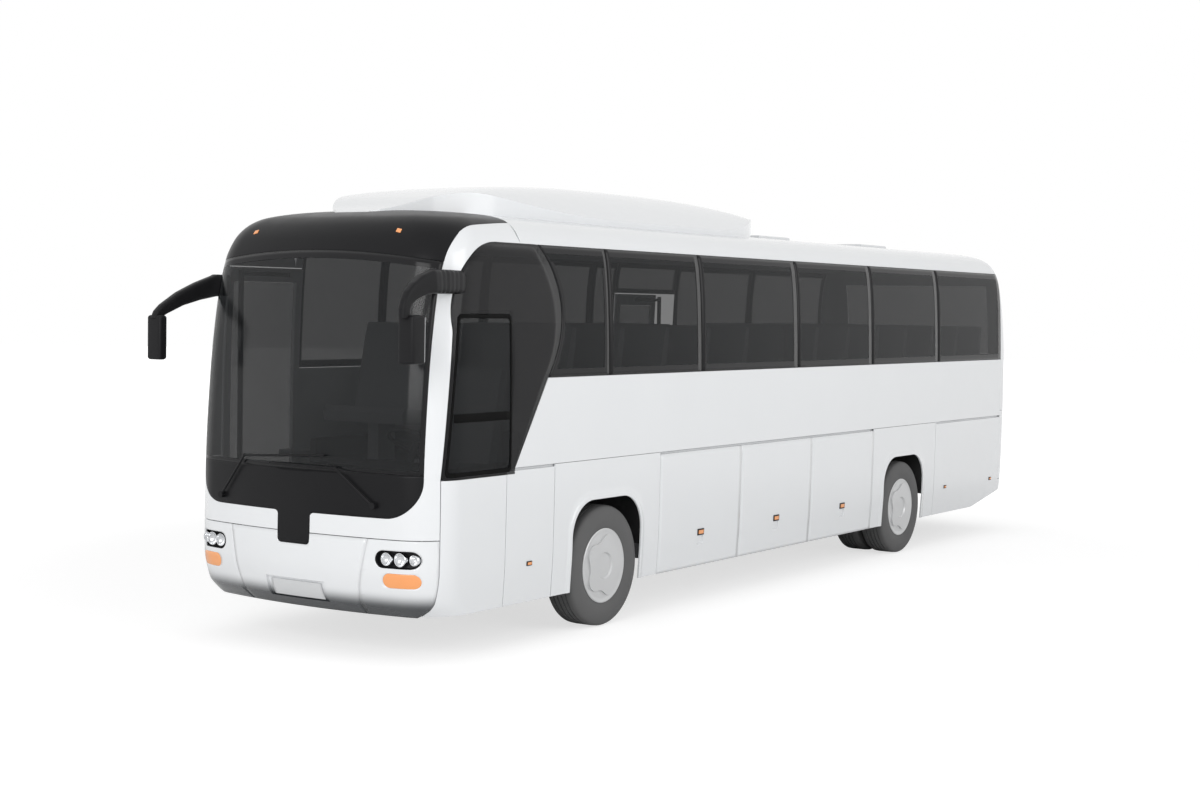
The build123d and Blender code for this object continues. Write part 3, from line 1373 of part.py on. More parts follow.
# Roof pod
pod_front = (ahead(POD_FRONT), ROOF_TOP - POD_SINK)
pod_tail = (ahead(POD_TAIL), ROOF_TOP - POD_SINK)
pod_brow = (ahead(POD_BROW_X), ROOF_TOP + POD_BROW_RISE)
pod_peak = (ahead(POD_PEAK_X), ROOF_TOP + POD_RISE)
pod_shoulder = (ahead(POD_SHOULDER_X), ROOF_TOP + POD_SHOULDER_RISE)
pod_edges = [
    ThreePointArc(pod_front, pod_brow, pod_peak),
    ThreePointArc(pod_peak, pod_shoulder, pod_tail),
    Line(pod_tail, pod_front),
]
pod = extrude(Plane.XZ.offset(-POD_HALF) * make_face(Wire(pod_edges)), amount=2 * POD_HALF)
pod_foot = ROOF_TOP - POD_SINK * 3
pod_cross = [
    Line((-POD_HALF, pod_foot), (-POD_HALF, ROOF_TOP)),
    ThreePointArc((-POD_HALF, ROOF_TOP), (0, ROOF_TOP + POD_RISE), (POD_HALF, ROOF_TOP)),
    Line((POD_HALF, ROOF_TOP), (POD_HALF, pod_foot)),
    Line((POD_HALF, pod_foot), (-POD_HALF, pod_foot)),
]
pod_round = extrude(
    Plane.YZ.offset(pod_tail[0] - OVERRUN) * make_face(Wire(pod_cross)),
    amount=pod_front[0] - pod_tail[0] + 2 * OVERRUN,
)
keep("air_conditioner", (pod & pod_round) - outer)
hatch_list = []
for place in HATCH_PLACES:
    x = ahead(place)
    hatch = block(
        x - HATCH_SIZE / 2, x + HATCH_SIZE / 2, -HATCH_SIZE / 2, HATCH_SIZE / 2,
        ROOF_TOP, ROOF_TOP + HATCH_RISE,
    )
    hatch_list.append(fillet(hatch.edges().group_by(Axis.Z)[-1], HATCH_ROUND))
keep("roof_hatches", Compound(children=hatch_list))

# Mirrors on bent arms
mirror_list = []
tip_x = nose_x + MIRROR_REACH
for side, level, shares in ((1, LEFT_ARM_LEVEL, LEFT_ARM_SHARES), (-1, RIGHT_ARM_LEVEL, RIGHT_ARM_SHARES)):
    sections = []
    for along, spread, fall, pitch, width, height in shares:
        place = (
            tip_x - (1 - along) * MIRROR_ARM_LENGTH, side * spread * MIRROR_SPREAD,
            level - fall * MIRROR_ARM_FALL,
        )
        turn = pitch / 180 * pi
        plane = Plane(origin=place, x_dir=(0, 1, 0), z_dir=(cos(turn), 0, -sin(turn)))
        sections.append(plane * RectangleRounded(
            width * MIRROR_ARM_HEIGHT, height * MIRROR_ARM_HEIGHT, ARM_EDGE_SHARE * MIRROR_ARM_HEIGHT
        ))
    arm = loft(sections, ruled=True)
    head_top = level - MIRROR_ARM_FALL
    head = block(
        tip_x - MIRROR_HEAD_DEPTH, tip_x,
        side * MIRROR_SPREAD - MIRROR_HEAD_WIDTH / 2, side * MIRROR_SPREAD + MIRROR_HEAD_WIDTH / 2,
        head_top - MIRROR_HEAD_HEIGHT, head_top,
    )
    head = fillet(head.edges(), MIRROR_HEAD_ROUND)
    mirror_list.append((arm + head) - outer)
keep_all("mirrors", mirror_list)


def nose_at(level):
    """Return how far forward the nose reaches at a level."""
    for below, above in zip(SHELL_SHARES[:-1], SHELL_SHARES[1:]):
        if below[0] <= level <= above[0]:
            share = (level - below[0]) / (above[0] - below[0])
            return nose_x - (below[1] + share * (above[1] - below[1])) * half_width
    return nose_x


def on_screen(place, rise):
    """Return the point that stands a rise ahead of the front at a lateral place and a level."""
    y, z = place
    return (nose_at(z) - NOSE_ARC + sqrt(NOSE_ARC ** 2 - y ** 2) + rise, y, z)


# Wipers, each a cap, an arm and a blade that follows the screen
wiper_list = []
for pivot, elbow, tip in WIPERS:
    start = on_screen(pivot, WIPER_RISE)
    bend = on_screen(elbow, WIPER_RISE)
    middle = on_screen(((elbow[0] + tip[0]) / 2, (elbow[1] + tip[1]) / 2), WIPER_RISE)
    end = on_screen(tip, WIPER_RISE)
    wiper = Pos(*on_screen(pivot, 0)) * Rot(0, 90, 0) * Cylinder(WIPER_CAP, 2 * WIPER_RISE + WIPER_CAP)
    wiper = wiper + Pos(*bend) * Sphere(WIPER_ELBOW)
    for path in (Line(start, bend), ThreePointArc(bend, middle, end)):
        ring = Plane(origin=path @ 0, z_dir=path % 0) * Circle(WIPER_RADIUS)
        wiper = wiper + sweep(ring, path=path)
    wiper_list.append(wiper - outer)
keep_all("wipers", wiper_list)

write_nodes()
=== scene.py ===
"""The looks of a coach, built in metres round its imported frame."""

import json
import logging
import math
from collections.abc import Callable
from dataclasses import dataclass
from enum import Enum

import bmesh
import bpy
import numpy as np
from mathutils import Matrix, Vector


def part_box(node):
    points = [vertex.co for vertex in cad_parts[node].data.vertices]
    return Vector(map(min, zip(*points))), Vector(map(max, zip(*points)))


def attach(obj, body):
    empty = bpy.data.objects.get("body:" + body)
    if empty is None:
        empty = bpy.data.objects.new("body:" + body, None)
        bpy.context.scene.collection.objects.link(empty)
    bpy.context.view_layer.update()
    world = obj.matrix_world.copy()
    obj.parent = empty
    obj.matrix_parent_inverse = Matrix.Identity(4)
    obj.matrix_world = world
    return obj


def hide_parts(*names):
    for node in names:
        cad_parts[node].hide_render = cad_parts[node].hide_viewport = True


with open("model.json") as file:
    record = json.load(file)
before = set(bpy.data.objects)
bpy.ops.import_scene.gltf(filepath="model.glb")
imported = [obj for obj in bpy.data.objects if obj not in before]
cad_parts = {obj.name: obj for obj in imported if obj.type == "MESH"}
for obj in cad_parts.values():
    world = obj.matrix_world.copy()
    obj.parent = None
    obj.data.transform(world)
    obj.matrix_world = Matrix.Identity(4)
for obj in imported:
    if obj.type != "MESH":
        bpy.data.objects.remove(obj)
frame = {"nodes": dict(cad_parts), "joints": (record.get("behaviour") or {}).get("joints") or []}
LOG = logging.getLogger("coach")
JOINTS = {row["name"]: row for row in frame["joints"]}
FRONT_AXLE = JOINTS["steer_left"]["pos_m"][0]
REAR_AXLE = JOINTS["rear_wheels_left_spin"]["pos_m"][0]
WHEEL_RADIUS = JOINTS["rear_wheels_left_spin"]["pos_m"][2]
GAP = 0.003
SHEET = 0.018
PANE = 0.007
BEVEL = 0.003
THIN = 0.004
LENS_WALL = 0.006
# Painted shade: the dark colour blended into the bumper's foot, standing in for the shade under its
# curved-under lip
PAINTED_SHADE = (0.05, 0.055, 0.06)
CLOUD_SCALE, CLOUD_DETAIL = 1.7, 4.0
GLOSS_SCALE, GLOSS_DETAIL = 9.0, 6.0
LEAST_ROUGHNESS, COAT_ROUGHNESS, RELIEF_HEIGHT = 0.02, 0.04, 0.002
Array = np.ndarray
Tree = bpy.types.NodeTree
Socket = bpy.types.NodeSocket


def ahead(distance: float) -> float:
    """Give the X of a place that lies a distance ahead of the front axle."""
    return FRONT_AXLE + distance


def add_node(tree: Tree, kind: str, inputs: dict, **fields: str) -> bpy.types.Node:
    """Add a shader node.

    Args:
        tree: The node tree.
        kind: The node's type, without its prefix.
        inputs: For each input, by its name or number, the output to link to it or its value.
        fields: The node's own settings.

    Returns:
        The node.
    """
    made = tree.nodes.new("ShaderNode" + kind)
    for key, value in fields.items():
        setattr(made, key, value)
    for key, value in inputs.items():
        if isinstance(value, Socket):
            tree.links.new(value, made.inputs[key])
        else:
            made.inputs[key].default_value = value
    return made


def larger(tree: Tree, first: Socket, second: Socket) -> Socket:
    """Give the larger of two outputs."""
    return add_node(tree, "Math", {0: first, 1: second}, operation="MAXIMUM").outputs["Value"]


class Side(Enum):
    """The two sides of the coach, by the sign of Y."""

    LEFT = 1
    RIGHT = -1


class Pattern(Enum):
    """The fine structure of a finish."""

    PEEL = "peel"
    GRAIN = "grain"
    WEAVE = "weave"
    CAST = "cast"
    RIBBED = "ribbed"


@dataclass(frozen=True)
class Finish:
    """One finish of the coach: its colours, gloss and fine structure, and for some a painted shade towards
    the foot.
    """

    name: str
    colour: tuple
    tint: tuple
    roughness: float
    slot: str
    pattern: Pattern = Pattern.PEEL
    scale: float = 60.0
    depth: float = 0.05
    metallic: float = 0.0
    coat: float = 0.0
    sheen: float = 0.0
    alpha: float = 1.0
    specular: float = 0.5
    wear: float = 0.06
    # Levels between which the colour is blended to painted shade below, or empty for none
    shade: tuple = ()

    def material(self) -> bpy.types.Material:
        """Give the finish's material, made the first time that it is asked for.

        Returns:
            The material, with colour, gloss and relief from procedural nodes, and painted shade towards the
            foot where the finish has shade levels.
        """
        found = bpy.data.materials.get(self.name)
        if found:
            return found
        made = bpy.data.materials.new(self.name)
        made.use_nodes = True
        tree = made.node_tree
        shader = tree.nodes["Principled BSDF"]
        shader.inputs["Metallic"].default_value = self.metallic
        shader.inputs["Coat Weight"].default_value = self.coat
        shader.inputs["Coat Roughness"].default_value = COAT_ROUGHNESS
        shader.inputs["Sheen Weight"].default_value = self.sheen
        shader.inputs["Alpha"].default_value = self.alpha
        shader.inputs["Specular IOR Level"].default_value = self.specular
        place = tree.nodes.new("ShaderNodeTexCoord").outputs["Object"]
        colour = add_node(tree, "Mix", {
            "Factor": self._noise(tree, place, CLOUD_SCALE, CLOUD_DETAIL),
            "A": (*self.colour, 1.0), "B": (*self.tint, 1.0),
        }, data_type="RGBA").outputs["Result"]
        # Painted shade towards the foot, standing in for the shade under a curved-under lip
        if self.shade:
            colour = self._shaded(tree, place, colour)
        tree.links.new(colour, shader.inputs["Base Color"])
        gloss = add_node(tree, "MapRange", {
            "Value": self._noise(tree, place, GLOSS_SCALE, GLOSS_DETAIL),
            "To Min": max(LEAST_ROUGHNESS, self.roughness - self.wear),
            "To Max": min(1.0, self.roughness + self.wear),
        })
        tree.links.new(gloss.outputs["Result"], shader.inputs["Roughness"])
        bump = add_node(tree, "Bump", {
            "Strength": self.depth, "Distance": RELIEF_HEIGHT, "Height": self._relief(tree, place),
        })
        tree.links.new(bump.outputs["Normal"], shader.inputs["Normal"])
        return made

    def _shaded(self, tree: Tree, place: Socket, colour: Socket) -> Socket:
        """Blend a colour to painted shade towards the foot, by a smooth step between two levels, for the
        shade under a curved-under lip.

        Args:
            tree: The node tree.
            place: The output that gives the place.
            colour: The output that gives the colour.

        Returns:
            The output that gives the colour with its painted shade.
        """
        share = add_node(tree, "MapRange", {
            "Value": add_node(tree, "SeparateXYZ", {0: place}).outputs["Z"],
            "From Min": self.shade[0], "From Max": self.shade[1],
        }, interpolation_type="SMOOTHERSTEP").outputs["Result"]
        return add_node(tree, "Mix", {"Factor": share, "A": (*PAINTED_SHADE, 1.0), "B": colour},
                        data_type="RGBA").outputs["Result"]

    def _noise(self, tree: Tree, place: Socket, scale: float, detail: float) -> Socket:
        """Add a noise texture of a scale, in waves a metre, and a detail, and give its output."""
        return add_node(tree, "TexNoise", {"Scale": scale, "Detail": detail, "Vector": place}).outputs["Fac"]

    def _relief(self, tree: Tree, place: Socket) -> Socket:
        """Add the texture of the finish's fine relief.

        Args:
            tree: The node tree.
            place: The output that gives the place.

        Returns:
            The output that gives the relief's height.
        """
        if self.pattern in (Pattern.PEEL, Pattern.GRAIN):
            detail = 1.0 if self.pattern is Pattern.PEEL else 8.0
            return self._noise(tree, place, self.scale, detail)
        if self.pattern is Pattern.CAST:
            return add_node(tree, "TexVoronoi", {"Scale": self.scale, "Vector": place}).outputs["Distance"]
        first = self._wave(tree, place, "X")
        if self.pattern is Pattern.RIBBED:
            return first
        return larger(tree, first, self._wave(tree, place, "Z"))

    def _wave(self, tree: Tree, place: Socket, way: str) -> Socket:
        """Add a band texture whose bands run across one axis, and give its output."""
        return add_node(tree, "TexWave", {"Scale": self.scale, "Vector": place},
                        bands_direction=way).outputs["Fac"]


WHITE = Finish("white paint", (0.80, 0.815, 0.83), (0.775, 0.79, 0.805), 0.22, "white_paint",
               scale=260.0, depth=0.02, coat=0.6)
# The bumper's white paint, with painted shade towards its foot where it curves under
WHITE_PAINTED_SHADE = Finish("white paint, shaded foot", (0.80, 0.815, 0.83), (0.775, 0.79, 0.805), 0.24, "white_paint",
                scale=260.0, depth=0.02, coat=0.4, shade=(0.395, 0.56))
BLACK = Finish("black gloss", (0.008, 0.008, 0.009), (0.011, 0.011, 0.012), 0.34, "black_gloss",
               scale=220.0, depth=0.02, specular=0.14)
SURROUND = Finish("dark surround glass", (0.008, 0.008, 0.009), (0.011, 0.011, 0.012), 0.14, "black_gloss",
                  scale=6.0, depth=0.004, alpha=0.78, specular=0.22, wear=0.02)
GLASS = Finish("tinted glass", (0.008, 0.009, 0.010), (0.011, 0.012, 0.013), 0.10, "tinted_glass",
               scale=6.0, depth=0.004, alpha=0.60, specular=0.16, wear=0.02)
SCREEN = Finish("screen glass", (0.008, 0.009, 0.010), (0.011, 0.012, 0.013), 0.14, "tinted_glass",
                scale=6.0, depth=0.004, alpha=0.56, specular=0.30, wear=0.02)
BORDER = Finish("printed glass border", (0.007, 0.007, 0.008), (0.010, 0.010, 0.011), 0.16, "tinted_glass",
                scale=40.0, depth=0.01, specular=0.22)
SEAL = Finish("seam rubber", (0.004, 0.004, 0.004), (0.006, 0.006, 0.006), 0.8, "rubber",
              Pattern.GRAIN, 400.0, 0.2, specular=0.08)
TYRE = Finish("tyre rubber", (0.095, 0.095, 0.096), (0.115, 0.115, 0.115), 0.74, "tyre",
              Pattern.GRAIN, 300.0, 0.25)
SILVER = Finish("wheel silver", (0.64, 0.645, 0.65), (0.58, 0.585, 0.59), 0.36, "rim_silver",
                scale=500.0, depth=0.03, metallic=0.35, coat=0.2)
PLASTIC = Finish("moulded plastic", (0.008, 0.008, 0.009), (0.012, 0.012, 0.013), 0.42, "mirror_black",
                 Pattern.GRAIN, 700.0, 0.15, specular=0.15)
DASH = Finish("dash plastic", (0.06, 0.062, 0.065), (0.075, 0.077, 0.08), 0.55, "grey_plastic",
              Pattern.GRAIN, 500.0, 0.3)
TRIM = Finish("grey trim", (0.30, 0.31, 0.32), (0.26, 0.27, 0.28), 0.6, "grey_plastic",
              Pattern.GRAIN, 300.0, 0.2)
CLOTH = Finish("seat cloth", (0.42, 0.43, 0.45), (0.50, 0.51, 0.53), 0.85, "seat_fabric",
               Pattern.WEAVE, 120.0, 0.35, sheen=0.3)
COVERING = Finish("floor covering", (0.16, 0.165, 0.17), (0.20, 0.205, 0.21), 0.65, "floor_covering",
                  Pattern.CAST, 120.0, 0.2)
FRAME_PAINT = Finish("frame paint", (0.035, 0.035, 0.037), (0.05, 0.05, 0.05), 0.5, "black_metal",
                     Pattern.GRAIN, 120.0, 0.2)
CASTING = Finish("cast metal", (0.10, 0.10, 0.10), (0.16, 0.155, 0.15), 0.6, "cast_metal",
                 Pattern.CAST, 90.0, 0.3, metallic=0.5)
RUBBER = Finish("bellows rubber", (0.03, 0.03, 0.03), (0.045, 0.045, 0.045), 0.65, "rubber",
                Pattern.GRAIN, 250.0, 0.25)
CHROME = Finish("lamp reflector", (0.85, 0.86, 0.87), (0.75, 0.76, 0.78), 0.10, "lamp_clear",
                scale=40.0, depth=0.05, metallic=1.0, wear=0.03)
LENS = Finish("lamp glass", (0.70, 0.72, 0.74), (0.62, 0.64, 0.66), 0.06, "lamp_clear",
              scale=30.0, depth=0.05, alpha=0.25, wear=0.02)
ORANGE = Finish("orange lens", (0.92, 0.33, 0.10), (0.95, 0.42, 0.16), 0.24, "lamp_orange",
                Pattern.RIBBED, 60.0, 0.15, coat=0.5)
RED = Finish("red lens", (0.16, 0.012, 0.012), (0.24, 0.02, 0.02), 0.18, "lamp_red",
             Pattern.RIBBED, 60.0, 0.15, coat=0.5)
BARE = Finish("bare plate", (0.66, 0.67, 0.68), (0.62, 0.63, 0.64), 0.35, "white_paint",
              scale=120.0, depth=0.05)


def line(start: tuple, end: tuple, count: int) -> Array:
    """Give evenly spaced points from one place to another, both included."""
    return np.linspace(start, end, count)


def chain(*runs: Array) -> Array:
    """Join runs of points end to end, each shared point kept once."""
    return np.concatenate([runs[0]] + [run[1:] for run in runs[1:]])


def bow(centre: tuple, radius: float, first: float, last: float, count: int) -> Array:
    """Give points on an arc, from its first to its last angle in degrees."""
    angle = np.radians(np.linspace(first, last, count))
    return np.stack([centre[0] + radius * np.cos(angle), centre[1] + radius * np.sin(angle)], axis=1)


def stacked(x: Array, y: Array, z: Array) -> Array:
    """Give a grid of points from a row of lateral places and a column of levels, or from like grids."""
    return np.stack([x, y + 0 * z, z + 0 * y], -1)


def between(first: Array, second: Array, shares: Array) -> Array:
    """Give rows of points that lie at shares of the way from one border to the other."""
    shares = np.asarray(shares)[:, None, None]
    return (1 - shares) * first[None] + shares * second[None]


def monotone(levels: Array, values: Array, at: Array) -> Array:
    """Interpolate by cubic Hermite pieces whose slopes are the harmonic mean of the chords beside them.

    Args:
        levels: Rising places.
        values: The value at each place.
        at: The places asked for.

    Returns:
        The value at each place asked for.
    """
    step = np.diff(levels)
    chord = np.diff(values) / step
    product = chord[:-1] * chord[1:]
    total = np.where(product > 0, chord[:-1] + chord[1:], 1.0)
    inner = np.where(product > 0, 2 * product / total, 0.0)
    slope = np.concatenate([[chord[0]], inner, [chord[-1] * 1.5]])
    at = np.clip(at, levels[0], levels[-1])
    left = np.clip(np.searchsorted(levels, at, side="right") - 1, 0, len(step) - 1)
    share = (at - levels[left]) / step[left]
    low, high = values[left], values[left + 1]
    rise, fall = slope[left] * step[left], slope[left + 1] * step[left]
    square, cube = share ** 2, share ** 3
    return (
        (2 * cube - 3 * square + 1) * low + (cube - 2 * square + share) * rise
        + (3 * square - 2 * cube) * high + (cube - square) * fall
    )


@dataclass(frozen=True)
class Hull:
    """The coach's outer surface: at each level straight sides, with an arc and two corners at each end."""

    nose: float
    tail: float
    half: float
    roof: float
    nose_arc: float = 5.1
    nose_corner: float = 0.38
    tail_arc: float = 9.0
    tail_corner: float = 0.25
    search_foot: float = 2.0
    search_steps: int = 26
    # Columns: level, then setbacks of the nose, of each side and of the tail, as shares of half the width
    section_shares: tuple = (
        (0.335, 0.133, 0.022, 0.060),
        (0.470, 0.035, 0.016, 0.035),
        (0.700, 0.000, 0.006, 0.020),
        (1.437, 0.008, 0.000, 0.004),
        (2.137, 0.039, 0.004, 0.000),
        (2.700, 0.086, 0.018, 0.040),
        (3.050, 0.140, 0.040, 0.090),
        (3.205, 0.190, 0.067, 0.130),
        (3.299, 0.243, 0.106, 0.170),
        (3.381, 0.330, 0.184, 0.240),
        (3.429, 0.470, 0.325, 0.340),
        (3.460, 0.670, 0.600, 0.550),
    )

    def ends(self, z: Array) -> tuple:
        """Give how far the outline reaches at each level.

        Args:
            z: The levels.

        Returns:
            The nose's X, half the width and the tail's X.
        """
        table = np.array(self.section_shares)
        nose, side, tail = (monotone(table[:, 0], table[:, column], z) for column in (1, 2, 3))
        return self.nose - nose * self.half, self.half * (1 - side), self.tail + tail * self.half

    def _radii(self, end: Side) -> tuple:
        """Give the radii of an end's arc and corners: LEFT stands for the nose and RIGHT for the tail."""
        return (self.nose_arc, self.nose_corner) if end is Side.LEFT else (self.tail_arc, self.tail_corner)

    def _corner(self, width: Array, big: float, small: float) -> tuple:
        """Give how far behind the tip a corner's centre lies, and the angle where the corner starts."""
        reach = np.sqrt((big - small) ** 2 - (width - small) ** 2)
        return big - reach, np.arctan2(width - small, reach)

    def _dip(self, y: Array, width: Array, big: float, small: float) -> Array:
        """Give how far an end's outline falls back from its tip.

        Args:
            y: The lateral place.
            width: Half the outline's width there.
            big: The radius of the end's arc.
            small: The radius of its corners.

        Returns:
            The distance behind the tip.
        """
        back, turn = self._corner(width, big, small)
        place = np.minimum(np.abs(y), width)
        on_arc = big - np.sqrt(big ** 2 - place ** 2)
        off = np.clip(place - (width - small), 0, small)
        on_corner = back - np.sqrt(small ** 2 - off ** 2)
        return np.where(place <= big * np.sin(turn), on_arc, on_corner)

    def front(self, y: Array, z: Array) -> Array:
        """Give the points of the front face at lateral places and levels."""
        nose, width, _ = self.ends(z)
        return stacked(nose - self._dip(y, width, self.nose_arc, self.nose_corner), y, z)

    def rear(self, y: Array, z: Array) -> Array:
        """Give the points of the rear face at lateral places and levels."""
        _, width, tail = self.ends(z)
        return stacked(tail + self._dip(y, width, self.tail_arc, self.tail_corner), y, z)

    def reach(self, x: Array, z: Array) -> Array:
        """Give half the outline's width.

        Args:
            x: The place along the coach.
            z: The level.

        Returns:
            Half the width, and less than nothing beyond the outline's ends.
        """
        nose, width, tail = self.ends(z)
        result = width + 0 * x
        for tip, end in ((nose, Side.LEFT), (tail, Side.RIGHT)):
            way = end.value
            big, small = self._radii(end)
            back, turn = self._corner(width, big, small)
            beyond = way * (x - (tip - way * back))
            corner = width - small + np.sqrt(np.clip(small ** 2 - beyond ** 2, 0, None))
            fall = big ** 2 - (way * (x - tip) + big) ** 2
            arc = np.where(fall > 0, np.sqrt(np.clip(fall, 0, None)), -1.0)
            result = np.where(beyond > 0, np.where(beyond < small * np.cos(turn), corner, arc), result)
        return result

    def side(self, x: Array, z: Array, side: Side) -> Array:
        """Give the points of a side at places along the coach and levels."""
        return np.stack([x + 0 * z, side.value * self.reach(x, z), z + 0 * x], -1)

    def top(self, x: Array, y: Array) -> Array:
        """Give the points of the roof over places in plan, by halving the range of levels until it closes.

        Args:
            x: The places along the coach.
            y: The lateral places.

        Returns:
            The points.
        """
        low = np.full(np.broadcast(x, y).shape, self.search_foot)
        high = np.full(low.shape, self.roof)
        for _ in range(self.search_steps):
            middle = (low + high) / 2
            inside = self.reach(x, middle) >= np.abs(y)
            low = np.where(inside, middle, low)
            high = np.where(inside, high, middle)
        return np.stack([x + 0 * low, y + 0 * low, low], -1)

    def wrap(self, turn: Array, z: Array, end: Side) -> Array:
        """Give points by a place round one end's outline: 0 at its middle, 1 where the corner starts,
        2 where it stops, and beyond that 2 plus the distance along the side.

        Args:
            turn: The place round the outline, negative on the right.
            z: The level.
            end: LEFT for the nose and RIGHT for the tail.

        Returns:
            The points.
        """
        nose, width, tail = self.ends(z)
        ahead_end = end is Side.LEFT
        big, small = self._radii(end)
        back, start = self._corner(width, big, small)
        place = np.abs(turn)
        on_arc = np.clip(place, 0, 1) * start
        on_corner = start + np.clip(place - 1, 0, 1) * (math.pi / 2 - start)
        depth = np.where(place < 1, big * (1 - np.cos(on_arc)), back - small * np.cos(on_corner))
        lateral = np.where(place < 1, big * np.sin(on_arc), width - small + small * np.sin(on_corner))
        depth = depth + np.clip(place - 2, 0, None)
        x = nose - depth if ahead_end else tail + depth
        return np.stack([x, np.sign(turn) * lateral, z + 0 * x], -1)

    def turn_at(self, z: Array, end: Side, x: Array | None = None,
                y: Array | None = None) -> Array:
        """Give the place round an end's outline of a point known by its X or its Y.

        Args:
            z: The level.
            end: LEFT for the nose and RIGHT for the tail.
            x: The place along the coach, if known.
            y: The lateral place, if known.

        Returns:
            The place round the outline.
        """
        nose, width, tail = self.ends(z)
        ahead_end = end is Side.LEFT
        big, small = self._radii(end)
        back, start = self._corner(width, big, small)
        if x is not None:
            depth = nose - x if ahead_end else x - tail
            on_arc = np.arccos(np.clip(1 - depth / big, -1, 1)) / start
            corner = np.arccos(np.clip((back - depth) / small, -1, 1))
            on_corner = 1 + (corner - start) / (math.pi / 2 - start)
            result = np.where(on_arc < 1, on_arc, on_corner)
            return np.where(depth > back, 2 + depth - back, result)
        on_arc = np.arcsin(np.clip(y / big, -1, 1)) / start
        corner = np.arcsin(np.clip((y - width + small) / small, 0, 1))
        return np.where(on_arc < 1, on_arc, 1 + (corner - start) / (math.pi / 2 - start))


SKIRT_FOOT, BUMPER_SEAM, MASK_FOOT, WAIST = 0.335, 0.940, 1.100, 1.437
CORNER_TOP, SCREEN_FOOT, GLASS_FOOT, GLASS_TOP = 1.390, 1.430, 2.137, 3.205
SPINE_INSET, SPINE_LEVEL = 1.5, 1.9
HULL = Hull(
    nose=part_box("front_bumper")[1].x, tail=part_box("rear_wall")[0].x,
    half=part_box("side_walls")[1].y, roof=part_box("roof")[1].z,
)


def weld(grids: list, closed: bool) -> tuple:
    """Join grids of points into one set of faces, with points that fall together kept once.

    Args:
        grids: Arrays of rows of points.
        closed: True when each row's last point meets its first.

    Returns:
        The points and the faces.
    """
    points, faces, count = [], [], 0
    for grid in grids:
        rows, columns = grid.shape[:2]
        index = np.arange(rows * columns).reshape(rows, columns) + count
        if closed:
            index = np.concatenate([index, index[:, :1]], axis=1)
        quads = np.stack([index[:-1, :-1], index[:-1, 1:], index[1:, 1:], index[1:, :-1]], axis=-1)
        faces.append(quads.reshape(-1, 4))
        points.append(grid.reshape(-1, 3))
        count += rows * columns
    points = np.concatenate(points)
    _, first, place = np.unique(np.round(points, 5), axis=0, return_index=True, return_inverse=True)
    quads = place.reshape(-1)[np.concatenate(faces)]
    kept = [tuple(dict.fromkeys(quad)) for quad in quads.tolist()]
    return points[first], [face for face in kept if len(face) > 2]


def outwards(point: Array) -> Array:
    """Give the way out of the coach at each point, measured from its middle line.

    Args:
        point: The points.

    Returns:
        A vector for each of them.
    """
    spine = np.stack([
        np.clip(point[:, 0], HULL.tail + SPINE_INSET, HULL.nose - SPINE_INSET),
        np.zeros(len(point)),
        np.full(len(point), SPINE_LEVEL),
    ], axis=1)
    return point - spine


@dataclass
class Piece:
    """One new piece: the grids that make it, its finish and what it rides on and stands for."""

    name: str
    grids: list
    finish: Finish
    body: str = "coach"
    replaces: tuple = ()
    wall: float = 0.0
    bevel: float = 0.0
    loop: bool = False
    sharp: float = 45.0

    def build(self) -> bpy.types.Object:
        """Make the piece's object, finish it and tie it to the frame.

        Returns:
            The object, at the origin.
        """
        points, faces = weld(self.grids, self.loop)
        mesh = bpy.data.meshes.new(self.name)
        mesh.from_pydata(points, [], faces)
        shape = bmesh.new()
        shape.from_mesh(mesh)
        bmesh.ops.recalc_face_normals(shape, faces=shape.faces)
        if any(edge.is_boundary for edge in shape.edges):
            self._face_out(shape)
        shape.to_mesh(mesh)
        shape.free()
        mesh.shade_smooth()
        mesh.set_sharp_from_angle(angle=math.radians(self.sharp))
        made = bpy.data.objects.new(self.name, mesh)
        bpy.context.scene.collection.objects.link(made)
        mesh.materials.append(self.finish.material())
        if self.wall:
            solid = made.modifiers.new("wall", "SOLIDIFY")
            solid.thickness = self.wall
            solid.offset = -1.0
            solid.use_rim = True
        if self.bevel:
            edge = made.modifiers.new("edge", "BEVEL")
            edge.width = self.bevel
            edge.segments = 2
            edge.limit_method = "ANGLE"
            edge.angle_limit = math.radians(55)
            edge.harden_normals = True
        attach(made, self.body)
        if self.replaces:
            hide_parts(*self.replaces)
        LOG.info("%s: %d faces", self.name, len(mesh.polygons))
        return made

    def _face_out(self, shape: bmesh.types.BMesh) -> None:
        """Turn an open skin's faces away from the coach's middle line.

        Args:
            shape: The skin, whose faces are turned in place.
        """
        centres = np.array([face.calc_center_median() for face in shape.faces])
        normals = np.array([face.normal for face in shape.faces])
        areas = np.array([face.calc_area() for face in shape.faces])
        if np.sum(areas * np.sum(normals * outwards(centres), axis=1)) < 0:
            bmesh.ops.reverse_faces(shape, faces=shape.faces)


def skin(name: str, grids: list, node: str) -> None:
    """Build one fixed white panel from its points, in place of a CAD node or a part of it."""
    Piece(name, grids, WHITE, replaces=(node,), wall=SHEET, bevel=BEVEL).build()


def spin(profile: Array, centre: tuple, across: bool, count: int = 96) -> Array:
    """Turn a profile about an axis.

    Args:
        profile: Rows of radius and place along the axis.
        centre: The centre.
        across: True for an axis along Y and False for one along X.
        count: Points round it.

    Returns:
        One row for each point of the profile.
    """
    angle = np.linspace(0, 2 * math.pi, count, endpoint=False)[None]
    radius, along = np.asarray(profile)[:, :1], np.asarray(profile)[:, 1:]
    first, second = radius * np.cos(angle), radius * np.sin(angle)
    turned = (first, along + 0 * angle, second) if across else (along + 0 * angle, first, second)
    return np.stack([centre[axis] + turned[axis] for axis in range(3)], -1)


